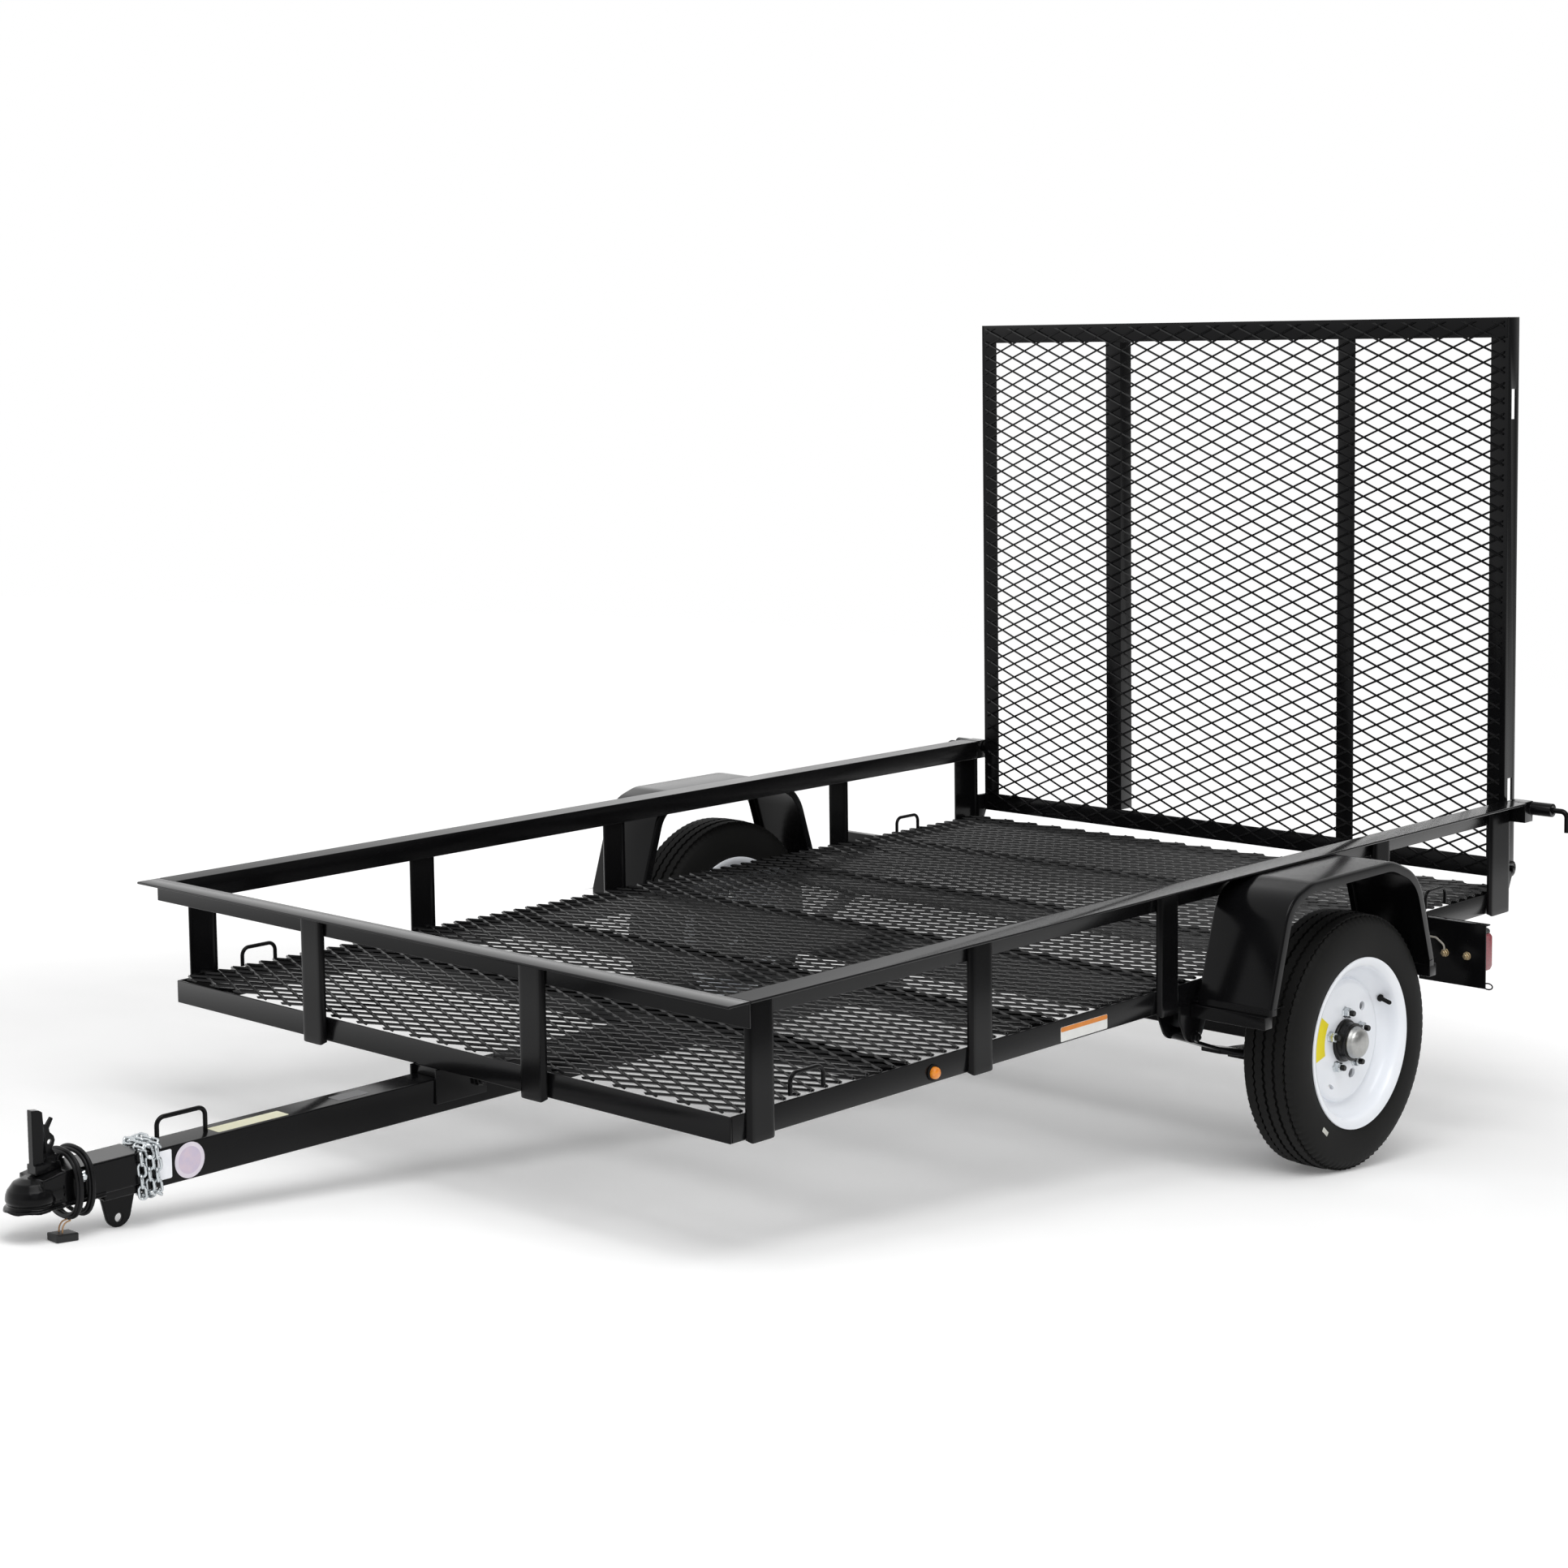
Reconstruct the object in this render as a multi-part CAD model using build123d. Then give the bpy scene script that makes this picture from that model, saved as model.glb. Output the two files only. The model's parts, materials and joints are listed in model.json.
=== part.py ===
from build123d import *
import os
from math import asin, atan2, cos, degrees, hypot, radians, sin

# A single-axle utility trailer with a mesh deck and a mesh ramp gate, in millimetres.
# Everything is placed in the trailer's own level frame: x to its left, y to the rear from the
# front face of the bed, z up from the road. At the end the whole part is set nose-down, as it
# parks with no jack, and centred over the floor.

# Bed frame and top rail
BED_WIDTH = 1524.0
BED_LENGTH = 2464.0
FRAME_BOTTOM = 373.0
FRAME_LEG = 44.5
FRAME_WALL = 4.8
RAIL_TOP = 615.0
RAIL_FLANGE = 50.8
RAIL_LEG = 44.5
RAIL_WALL = 4.8
POST_WIDTH = 64.0
POST_DEPTH = 10.0
POST_WALL = 3.2
POST_DROP = 6.0
CORNER_POST_INSET = 34.0
REAR_POST_WIDTH = 88.0
REAR_POST_PROUD = 6.0
FENDER_POST_GAPS = [56.0, 41.0]
FRONT_POST_PLACES = [-310.0, 300.0]
CROSSMEMBER_LEG = 38.0
CROSSMEMBER_WALL = 4.0
CROSSMEMBER_COUNT = 5
TONGUE_CROSSMEMBER = 2

# Expanded metal: pitch of the openings along and across the strands
MESH_LONG = 152.4
MESH_SHORT = 67.8
DECK_STRAND = 12.0
DECK_MESH_THICK = 4.0
DECK_MESH_GAP = 2.0
GATE_STRAND = 9.0
GATE_MESH_THICK = 3.0
GATE_MESH_INSET = 12.0
GATE_MESH_RISE = 8.0
MESH_RIM = 6.0

# Tongue, coupler and what hangs on them
TONGUE_SIZE = 63.5
TONGUE_WALL = 4.8
TONGUE_TOP = 356.5
TONGUE_FRONT = -690.0
SADDLE_LENGTH = 60.0
CHEEK_WALL = 5.0
CHEEK_FRONT = -7.0
CHEEK_REAR = 110.0
CHEEK_DROP = 46.0
COUPLER_WALL = 4.0
COUPLER_SKIRT = 14.0
COUPLER_LAP = 76.0
BALL_RADIUS = 25.4
BALL_AHEAD = 112.0
SOCKET_CLEARANCE = 1.6
SOCKET_DEPTH = 50.0
SOCKET_WALL = 14.5
SOCKET_ROOF = 4.0
DOME_DROP = 7.0
LIP_WIDTH = 4.0
LIP_THICK = 5.0
LEVER_HEIGHT = 104.0
LEVER_WIDTH = 26.0
LEVER_EYE_RADIUS = 4.0
# The lever's side view: behind the ball's centre in mm, and up as a share of its height
LEVER_OUTLINE = [(1, 0), (1, 1), (15, 0.98), (21, 0.94), (23, 0.75), (29, 0.72), (38, 0.83), (42, 0.8),
                 (34, 0.66), (35, 0.6), (42, 0.53), (44, 0.46), (41, 0.38), (37, 0.35), (45, 0.22), (49, 0)]
LEVER_EYE = (34, 0.45)
FOOT_WALL = 6.4
FOOT_BEHIND = 44.0
FOOT_DROP = 58.0
FOOT_RADIUS = 24.0
FOOT_SHOULDER = 66.0
CHAIN_HOLE_RADIUS = 7.0
CHAIN_HOLE_RISE = 16.0
HANDLE_BEHIND = 123.5
HANDLE_LENGTH = 95.0
HANDLE_RISE = 42.0
HANDLE_ROD = 8.0
HANDLE_BEND = 14.0
CHAIN_BEHIND = [84.5, 100.0, 115.5]
CHAIN_WIRE = 5.0
CHAIN_LINK_LENGTH = 24.0
CHAIN_LINK_WIDTH = 15.0
CHAIN_PROUD = 1.0
CHAIN_SLACK = 0.5

# Wiring harness: coiled round the coupler's neck, its plug lying on the floor
LOOM_DIAMETER = 7.0
COIL_AHEAD = 45.0
COIL_LENGTH = 38.0
COIL_SIDE_GAP = 6.5
COIL_THICK = 13.0
COIL_TOP_RISE = 17.5
COIL_SAG = 8.0
COIL_CORNER = 20.0
COIL_SHOULDER = 13.0
LOOM_BENDS = [60.0, 30.0]
WIRE_DIAMETER = 2.6
WIRE_SPREAD = 5.0
WIRE_OUT = 16.0
WIRE_BENDS = [9.0, 12.0]
PLUG_PLACE = 28.0
PLUG_AHEAD = 32.0
PLUG_LENGTH = 40.0
PLUG_WIDTH = 30.0
PLUG_THICK = 13.0
FLOOR_CLEARANCE = 0.3

# Wheels, axle and springs
AXLE_FROM_REAR = 852.0
TYRE_RADIUS = 256.0
TYRE_WIDTH = 122.0
TYRE_INNER_GAP = 32.0
TYRE_BEAD_RADIUS = 154.0
RIM_EDGE = 17.0
RIM_WALL = 4.0
DISC_WALL = 6.0
DISC_DISH = 16.0
DISC_STEP = 12.0
DISC_RING_RADIUS = 94.0
HUB_RADIUS = 36.0
HUB_FLANGE_RADIUS = 66.0
HUB_FLANGE = 9.0
HUB_INSET = 30.0
HUB_REACH = 44.0
CAP_RADIUS = 28.0
CAP_LENGTH = 22.0
SPINDLE_RADIUS = 16.0
SPINDLE_COLLAR = 10.0
RUNNING_GAP = 0.3
AXLE_SIZE = 50.8
AXLE_WALL = 6.4
AXLE_OVERHANG = 24.0
SPRING_INSET = 29.0
SPRING_LEAF_WIDTH = 44.5
SPRING_LEAF_THICK = 7.0
SPRING_HALF = 335.0
SPRING_RISE = 72.0
SPRING_EYE_RADIUS = 12.0
SPRING_SECOND_LEAF = 0.72
SPRING_THIRD_LEAF = 0.45
SPRING_SEAT = 0.1
CLAMP_HALF = 50.0
CLAMP_WIDTH = 68.0
CLAMP_THICK = 8.0
HANGER_WALL = 5.0
HANGER_HALF = 45.0
HANGER_FOOT_HALF = 20.0
HANGER_CORNER = 24.0

# Fenders: reach ahead of and behind the axle at the foot, the bends and the flat top
FENDER_FOOT = [342.0, 252.0]
FENDER_KNEE = [278.0, 194.0]
FENDER_FLAT = [200.0, 94.0]
FENDER_BELOW_RAIL = 5.0
FENDER_KNEE_DROP = [24.0, 42.0]
FENDER_FOOT_RISE = 15.0
FENDER_OVERHANG = 14.0
FENDER_WALL = 2.0
FENDER_LIP = 20.0
BRACE_SIZE = 25.4
BRACE_AHEAD = 7.0
BRACE_SHORT = 8.0

# Gate
GATE_STANDOFF = 18.0
GATE_SIDE_GAP = 14.0
GATE_ABOVE_DECK = 18.5
GATE_HEIGHT = 1249.0
GATE_LEG = 44.5
GATE_WALL = 4.0
GATE_MID_PLACE = 333.0
GATE_SLOT_INSET = 14.0
GATE_SLOT_WIDTH = 18.0
GATE_SLOT_LENGTH = 66.0
GATE_SLOT_RISES = [191.0, 1058.0]
PIVOT_BACK = 14.0
PIVOT_RISE = 22.0
PIVOT_RADIUS = 7.0
PIN_HEAD = 6.0
LUG_WALL = 8.0
LUG_RADIUS = 18.0
GATE_GAP = 5.0
FLOOR_GAP = 6.0

# Latches
LATCH_DROP_FROM_RAIL = 17.0
LATCH_RADIUS = 15.0
LATCH_LENGTH = 101.0
LATCH_PIN_RADIUS = 6.0
LATCH_REACH = 34.0
LATCH_HANG = 46.0
LATCH_BEND = 14.0
LATCH_ARM_WIDTH = 44.0
LATCH_ARM_HEIGHT = 46.0

# Lamps and small fittings
LAMP_PLATE_BEHIND = 236.0
LAMP_PLATE_SHORT = 19.0
LAMP_PLATE_BELOW = 4.0
LAMP_PLATE_HEIGHT = 136.0
LAMP_PLATE_WALL = 3.2
LAMP_FLANGE = 20.0
LAMP_INSET = 10.0
LAMP_RISE = 33.0
LAMP_WIDTH = 119.0
LAMP_HEIGHT = 80.0
LAMP_CAP_HEIGHT = 17.0
LAMP_BODY_DEPTH = 15.0
LAMP_LENS_DEPTH = 30.0
LAMP_CHAMFER = 8.0
MARKER_PLACE = 499.0
MARKER_RISE = 19.0
MARKER_RADIUS = 11.0
MARKER_DEPTH = 14.0
TIE_FROM_FRONT = 190.0
TIE_FROM_REAR = 284.0
TIE_LENGTH = 80.0
TIE_RISE = 40.0
TIE_ROD = 8.0
TIE_BEND = 16.0

AXES = {"X": Vector(1, 0, 0), "Y": Vector(0, 1, 0), "Z": Vector(0, 0, 1)}
LEFT_AND_RIGHT = [("left", 1), ("right", -1)]


def spot(axis, a, b, along):
    """A point from its two cross-section coordinates and its place along the axis."""
    return {"X": (along, a, b), "Y": (a, along, b), "Z": (a, b, along)}[axis]


def prism(points, axis, start, end, holes=()):
    """A straight bar: a cross-section of corners, with holes, run from start to end."""
    outline = Wire.make_polygon([spot(axis, a, b, start) for a, b in points], close=True)
    inner = [Wire.make_polygon([spot(axis, a, b, start) for a, b in hole], close=True) for hole in holes]
    return Solid.extrude(Face(outline, inner), AXES[axis] * (end - start))


def block(x0, x1, y0, y1, z0, z1):
    return prism([(x0, y0), (x1, y0), (x1, y1), (x0, y1)], "Z", z0, z1)


def angle(corner, leg_a, leg_b, wall):
    """Corners of an L section: its heel, and signed leg lengths along both coordinates."""
    a, b = corner
    ta = wall if leg_a > 0 else -wall
    tb = wall if leg_b > 0 else -wall
    return [(a, b), (a + leg_a, b), (a + leg_a, b + tb), (a + ta, b + tb), (a + ta, b + leg_b), (a, b + leg_b)]


def square_tube(axis, a, b, size, wall, start, end):
    """A square tube centred on (a, b)."""
    h = size / 2
    k = h - wall
    ring = [(a - h, b - h), (a + h, b - h), (a + h, b + h), (a - h, b + h)]
    bore = [(a - k, b - k), (a + k, b - k), (a + k, b + k), (a - k, b + k)]
    return prism(ring, axis, start, end, [bore])


def rod(axis, a, b, radius, start, end):
    """A round bar centred on (a, b)."""
    plane = Plane(origin=spot(axis, a, b, start), z_dir=AXES[axis])
    return Solid.make_cylinder(radius, end - start, plane)


def turned(profile, axis, a, b):
    """A turned solid from (radius, along) corners, centred on (a, b)."""
    if axis == "X":
        corners = [(along, a + radius, b) for radius, along in profile]
        centre = Axis((0, a, b), (1, 0, 0))
    elif axis == "Y":
        corners = [(a + radius, along, b) for radius, along in profile]
        centre = Axis((a, 0, b), (0, 1, 0))
    else:
        corners = [(a + radius, b, along) for radius, along in profile]
        centre = Axis((a, b, 0), (0, 0, 1))
    return Solid.revolve(Face(Wire.make_polygon(corners, close=True)), 360, centre)


def bent_rod(points, bends, diameter):
    """A rod bent through its corner points, with one radius for all bends or one for each."""
    path = FilletPolyline(*points, radius=bends)
    edge = path.edges()[0]
    section = Plane(origin=edge.position_at(0), z_dir=edge.tangent_at(0)) * Circle(diameter / 2)
    return sweep(section, path=path).solid()


def mirrored(side, shape):
    return shape if side > 0 else shape.mirror(Plane.YZ)


def expanded_metal(width, height, strand, place):
    """A sheet of diamond openings; place turns its (a, b) coordinates into a point."""
    half_long = MESH_LONG / 2
    half_short = MESH_SHORT / 2
    reach = half_long * half_short / hypot(half_long, half_short)
    keep = 1 - strand / 2 / reach
    holes = []
    rows = int(height / half_short)
    columns = int(width / half_long)
    for row in range(rows + 1):
        b = row * half_short
        for column in range(-columns, columns + 1):
            a = column * half_long
            if (row + column) % 2:
                continue
            if abs(a) + half_long * keep > width / 2 - MESH_RIM:
                continue
            if b - half_short * keep < MESH_RIM or b + half_short * keep > height - MESH_RIM:
                continue
            corners = [(a - half_long * keep, b), (a, b - half_short * keep),
                       (a + half_long * keep, b), (a, b + half_short * keep)]
            holes.append(Wire.make_polygon([place(*corner) for corner in corners], close=True))
    rim = [(-width / 2, 0), (width / 2, 0), (width / 2, height), (-width / 2, height)]
    return Face(Wire.make_polygon([place(*corner) for corner in rim], close=True), holes)


half_bed = BED_WIDTH / 2
frame_top = FRAME_BOTTOM + FRAME_LEG
deck_top = frame_top + DECK_MESH_THICK
post_top = RAIL_TOP - RAIL_WALL
post_face = half_bed + POST_DEPTH
tongue_bottom = TONGUE_TOP - TONGUE_SIZE
tongue_middle = TONGUE_TOP - TONGUE_SIZE / 2
tongue_half = TONGUE_SIZE / 2
axle_y = BED_LENGTH - AXLE_FROM_REAR
axle_z = TYRE_RADIUS
tyre_middle = post_face + TYRE_INNER_GAP + TYRE_WIDTH / 2
fender_outer = tyre_middle + TYRE_WIDTH / 2 + FENDER_OVERHANG
fender_front = axle_y - FENDER_FOOT[0]
fender_rear = axle_y + FENDER_FOOT[1]
gate_face = BED_LENGTH + GATE_STANDOFF
gate_bottom = frame_top + GATE_ABOVE_DECK
gate_top = gate_bottom + GATE_HEIGHT
pivot_y = gate_face + PIVOT_BACK
pivot_z = gate_bottom + PIVOT_RISE
nodes = {}

# The bed's lower frame is angle iron, its lower leg turned in under the deck.
side_section = angle((half_bed, FRAME_BOTTOM), -FRAME_LEG, FRAME_LEG, FRAME_WALL)
side_rail = prism(side_section, "Y", FRAME_WALL, BED_LENGTH - FRAME_WALL)
for name, side in LEFT_AND_RIGHT:
    nodes[f"frame_side_{name}"] = [mirrored(side, side_rail)]
shelf_half = half_bed - FRAME_LEG
end_web = block(-half_bed, half_bed, 0, FRAME_WALL, FRAME_BOTTOM, frame_top)
end_shelf = block(-shelf_half, shelf_half, 0, FRAME_LEG, FRAME_BOTTOM, FRAME_BOTTOM + FRAME_WALL)
front_rail = end_web.fuse(end_shelf).solid()
nodes["frame_front"] = [front_rail]
nodes["frame_rear"] = [front_rail.mirror(Plane.XZ.offset(-BED_LENGTH / 2))]

# Crossmembers are angles between the side rails, evenly spaced, flush under the deck mesh.
inner_half = half_bed - FRAME_WALL
crossmember_places = [BED_LENGTH * (i + 1) / (CROSSMEMBER_COUNT + 1) for i in range(CROSSMEMBER_COUNT)]
crossmembers = []
for place in crossmember_places:
    section = angle((place, frame_top), CROSSMEMBER_LEG, -CROSSMEMBER_LEG, CROSSMEMBER_WALL)
    crossmembers.append(prism(section, "X", -inner_half, inner_half))
nodes["crossmembers"] = crossmembers

# The deck is one sheet of heavy expanded metal lying on the frame.
deck_face = expanded_metal(BED_WIDTH - 2 * DECK_MESH_GAP, BED_LENGTH, DECK_STRAND, lambda a, b: (a, b, frame_top))
nodes["deck_mesh"] = [Solid.extrude(deck_face, Vector(0, 0, DECK_MESH_THICK))]

# The top rail is angle iron with its flange turned out, the front one across the full width.
rail_half = half_bed + RAIL_FLANGE
side_leg_bottom = RAIL_TOP - RAIL_LEG
rail_section = [(half_bed - RAIL_WALL, RAIL_TOP), (half_bed + RAIL_FLANGE, RAIL_TOP),
                (half_bed + RAIL_FLANGE, post_top), (half_bed, post_top), (half_bed, side_leg_bottom),
                (half_bed - RAIL_WALL, side_leg_bottom)]
side_top = prism(rail_section, "Y", 0, BED_LENGTH)
for name, side in LEFT_AND_RIGHT:
    nodes[f"top_rail_{name}"] = [mirrored(side, side_top)]
front_top = angle((0, RAIL_TOP), -RAIL_FLANGE, -RAIL_LEG, RAIL_WALL)
nodes["top_rail_front"] = [prism(front_top, "X", -rail_half, rail_half)]

# Posts are shallow pressed channels, their web standing out from the frame and the rail.
post_bottom = FRAME_BOTTOM - POST_DROP
corner_post = CORNER_POST_INSET + POST_WIDTH / 2
post_before_fender = fender_front - FENDER_POST_GAPS[0] - POST_WIDTH / 2
post_behind_fender = fender_rear + FENDER_POST_GAPS[1] + POST_WIDTH / 2
rear_post = BED_LENGTH + REAR_POST_PROUD - REAR_POST_WIDTH / 2
side_posts = [(corner_post, POST_WIDTH), ((corner_post + post_before_fender) / 2, POST_WIDTH),
              (post_before_fender, POST_WIDTH), (post_behind_fender, POST_WIDTH), (rear_post, REAR_POST_WIDTH)]


def channel(width):
    """The section of a pressed channel post, as (along the rail, out from it)."""
    h = width / 2
    k = h - POST_WALL
    web = POST_DEPTH - POST_WALL
    return [(-h, 0), (-h, POST_DEPTH), (h, POST_DEPTH), (h, 0), (k, 0), (k, web), (-k, web), (-k, 0)]


for name, side in LEFT_AND_RIGHT:
    posts = []
    for place, width in side_posts:
        section = [(half_bed + out, place + along) for along, out in channel(width)]
        posts.append(mirrored(side, prism(section, "Z", post_bottom, post_top)))
    nodes[f"side_posts_{name}"] = posts
front_posts = []
for place in FRONT_POST_PLACES:
    section = [(place + along, -RAIL_WALL - out) for along, out in channel(POST_WIDTH)]
    front_posts.append(prism(section, "Z", post_bottom, post_top))
nodes["front_posts"] = front_posts

# The tongue is one square tube, carried under the bed on spacers between bolted cheek plates.
saddle_half = SADDLE_LENGTH / 2
last_saddle = crossmember_places[TONGUE_CROSSMEMBER]
tongue_rear = last_saddle + saddle_half
nodes["tongue"] = [square_tube("Y", 0, tongue_middle, TONGUE_SIZE, TONGUE_WALL, TONGUE_FRONT, tongue_rear)]
nodes["tongue_saddles"] = [
    block(-tongue_half, tongue_half, 0, SADDLE_LENGTH, TONGUE_TOP, FRAME_BOTTOM),
    block(-tongue_half, tongue_half, last_saddle - saddle_half, tongue_rear, TONGUE_TOP, frame_top - CROSSMEMBER_LEG),
]
cheek = [(CHEEK_FRONT, FRAME_BOTTOM), (CHEEK_FRONT, TONGUE_TOP - CHEEK_DROP),
         (CHEEK_REAR, TONGUE_TOP - CHEEK_DROP), (CHEEK_REAR, FRAME_BOTTOM)]
cheek_plate = prism(cheek, "X", tongue_half, tongue_half + CHEEK_WALL)
nodes["tongue_cheeks"] = [mirrored(side, cheek_plate) for _, side in LEFT_AND_RIGHT]

# The coupler is pressed from plate: a domed ball socket, a necked channel and a sleeve over the
# tongue's end, with a lip turned out round the socket's mouth.
coupler_half = tongue_half + COUPLER_WALL
coupler_top = TONGUE_TOP + COUPLER_WALL
coupler_rear = TONGUE_FRONT + COUPLER_LAP
sleeve_bottom = tongue_bottom + COUPLER_SKIRT
ball_y = TONGUE_FRONT - BALL_AHEAD
dome_top = coupler_top - DOME_DROP
socket_bottom = dome_top - SOCKET_DEPTH
socket_radius = BALL_RADIUS + SOCKET_CLEARANCE
head_radius = socket_radius + SOCKET_WALL
lip_radius = head_radius + LIP_WIDTH
lip_top = socket_bottom + LIP_THICK
ball_z = dome_top - SOCKET_ROOF - socket_radius
dome = turned([(0, socket_bottom), (lip_radius, socket_bottom), (lip_radius, lip_top), (head_radius, lip_top),
               (head_radius, dome_top - 0.8 * head_radius), (0.9 * head_radius, dome_top - 0.43 * head_radius),
               (0.7 * head_radius, dome_top - 0.15 * head_radius), (0.35 * head_radius, dome_top), (0, dome_top)],
              "Z", 0, ball_y)
neck_side = [(ball_y, socket_bottom), (TONGUE_FRONT, socket_bottom), (TONGUE_FRONT, coupler_top),
             (ball_y + head_radius, coupler_top), (ball_y, dome_top)]
neck = prism(neck_side, "X", -coupler_half, coupler_half)
lip = block(-coupler_half - LIP_WIDTH, coupler_half + LIP_WIDTH, ball_y, TONGUE_FRONT, socket_bottom, lip_top)
shell = dome.fuse(neck, lip).solid()
sleeve = prism([(-coupler_half, coupler_top), (-coupler_half, sleeve_bottom), (-tongue_half, sleeve_bottom),
                (-tongue_half, TONGUE_TOP), (tongue_half, TONGUE_TOP), (tongue_half, sleeve_bottom),
                (coupler_half, sleeve_bottom), (coupler_half, coupler_top)], "Y", TONGUE_FRONT, coupler_rear)
socket = Solid.make_sphere(socket_radius, Plane(origin=(0, ball_y, ball_z)), -90, 90, 360)
mouth = Solid.make_cylinder(socket_radius, ball_z - socket_bottom + 1, Plane(origin=(0, ball_y, socket_bottom - 1)))
trough_half = coupler_half - COUPLER_WALL
trough = block(-trough_half, trough_half, ball_y + head_radius, TONGUE_FRONT + 1, socket_bottom - 1,
               coupler_top - COUPLER_WALL)
nodes["coupler"] = [shell.cut(socket).cut(mouth).cut(trough).fuse(sleeve).solid()]

# The coupler's latch lever stands raised over the socket, cut to sit on the dome.
lever_base = coupler_top - COUPLER_WALL
lever = prism([(ball_y + back, lever_base + up * LEVER_HEIGHT) for back, up in LEVER_OUTLINE], "X",
              -LEVER_WIDTH / 2, LEVER_WIDTH / 2)
eye_back, eye_up = LEVER_EYE
lever_eye = rod("X", ball_y + eye_back, lever_base + eye_up * LEVER_HEIGHT, LEVER_EYE_RADIUS, -LEVER_WIDTH,
                LEVER_WIDTH)
nodes["coupler_lever"] = [lever.cut(shell).cut(lever_eye).solid()]

# The chain plate under the tongue, a rounded lobe, is also what the nose rests on when parked.
foot_y = TONGUE_FRONT + FOOT_BEHIND
foot_bottom = tongue_bottom - FOOT_DROP
lobe = [radians(200 + 14 * i) for i in range(11)]
foot_outline = [(foot_y - FOOT_SHOULDER / 2, tongue_bottom)]
foot_outline += [(foot_y + FOOT_RADIUS * cos(a), foot_bottom + FOOT_RADIUS * (1 + sin(a))) for a in lobe]
foot_outline.append((foot_y + FOOT_SHOULDER / 2, tongue_bottom))
chain_hole_z = foot_bottom + CHAIN_HOLE_RISE
foot = prism(foot_outline, "X", -FOOT_WALL / 2, FOOT_WALL / 2)
foot = foot.cut(rod("X", foot_y, chain_hole_z, CHAIN_HOLE_RADIUS, -FOOT_WALL, FOOT_WALL))
nodes["chain_plate"] = [foot.solid()]

# A bent rod on top of the tongue is the lift handle.
handle_z = TONGUE_TOP + HANDLE_RISE
handle_front = TONGUE_FRONT + HANDLE_BEHIND
handle_rear = handle_front + HANDLE_LENGTH
handle_points = [(0, handle_front, TONGUE_TOP), (0, handle_front, handle_z), (0, handle_rear, handle_z),
                 (0, handle_rear, TONGUE_TOP)]
nodes["lift_handle"] = [bent_rod(handle_points, HANDLE_BEND, HANDLE_ROD)]

# Safety chains are wound round the tongue: each turn is one ring, with two links lying flat on
# each side of the tube and the wire of the links between them standing on edge.
chains = []
k = tongue_half + CHAIN_SLACK
g = k + CHAIN_WIRE
link = CHAIN_LINK_LENGTH / 2
wide = CHAIN_LINK_WIDTH / 2
for behind in CHAIN_BEHIND:
    place = TONGUE_FRONT + behind
    ring = [(-g, tongue_middle - g), (g, tongue_middle - g), (g, tongue_middle + g), (-g, tongue_middle + g)]
    bore = [(-k, tongue_middle - k), (k, tongue_middle - k), (k, tongue_middle + k), (-k, tongue_middle + k)]
    turn_of_chain = prism(ring, "Y", place - CHAIN_WIRE / 2, place + CHAIN_WIRE / 2, [bore])
    flats = []
    for across in (-k / 2, k / 2):
        y0, y1 = place - wide, place + wide
        for s in (-1, 1):
            low, high = sorted((s * k, s * (g + CHAIN_PROUD)))
            flats.append(block(across - link, across + link, y0, y1, tongue_middle + low, tongue_middle + high))
            flats.append(block(low, high, y0, y1, tongue_middle + across - link, tongue_middle + across + link))
    chains.append(turn_of_chain.fuse(*flats).solid())
nodes["safety_chains"] = chains

# Axle: one square tube, a spindle welded into each end.
spring_x = half_bed - SPRING_INSET
axle_half = spring_x + AXLE_OVERHANG
nodes["axle_beam"] = [square_tube("X", axle_y, axle_z, AXLE_SIZE, AXLE_WALL, -axle_half, axle_half)]
hub_start = tyre_middle - HUB_INSET
hub_end = tyre_middle + HUB_REACH
spindle_end = hub_end - RUNNING_GAP
spindle = rod("X", axle_y, axle_z, SPINDLE_RADIUS, axle_half, spindle_end)
spindle = spindle.fuse(rod("X", axle_y, axle_z, AXLE_SIZE / 2, axle_half, axle_half + SPINDLE_COLLAR)).solid()
nodes["spindles"] = [mirrored(side, spindle) for _, side in LEFT_AND_RIGHT]

# Leaf springs hang under the axle, from hangers welded below the side rails.
spring_half_width = SPRING_LEAF_WIDTH / 2
spring_top = axle_z - AXLE_SIZE / 2
t = SPRING_LEAF_THICK
low = spring_top - 3 * t
third = SPRING_THIRD_LEAF
second = SPRING_SECOND_LEAF
under = [(1, t), (second, t), (second, 2 * t), (third, 2 * t), (third, 3 * t)]
curve = [(-along, drop) for along, drop in under] + [(0, 3 * t)] + under[::-1]
curve += [(along, 0) for along in (1, second, third, SPRING_SEAT, -SPRING_SEAT, -third, -second, -1)]
seat = SPRING_SEAT ** 2
leaf = [(axle_y + along * SPRING_HALF, spring_top + SPRING_RISE * max(along ** 2 - seat, 0) - drop)
        for along, drop in curve]
spring = prism(leaf, "X", spring_x - spring_half_width, spring_x + spring_half_width)
eye_z = spring_top + SPRING_RISE * (1 - seat) - t + SPRING_EYE_RADIUS
for end in (-1, 1):
    eye = rod("X", axle_y + end * SPRING_HALF, eye_z, SPRING_EYE_RADIUS, spring_x - spring_half_width,
              spring_x + spring_half_width)
    spring = spring.fuse(eye).solid()
clamp = block(spring_x - CLAMP_WIDTH / 2, spring_x + CLAMP_WIDTH / 2, axle_y - CLAMP_HALF, axle_y + CLAMP_HALF,
              low - CLAMP_THICK, low)
cheek_half = spring_half_width + RUNNING_GAP + HANGER_WALL
hangers = []
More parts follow.
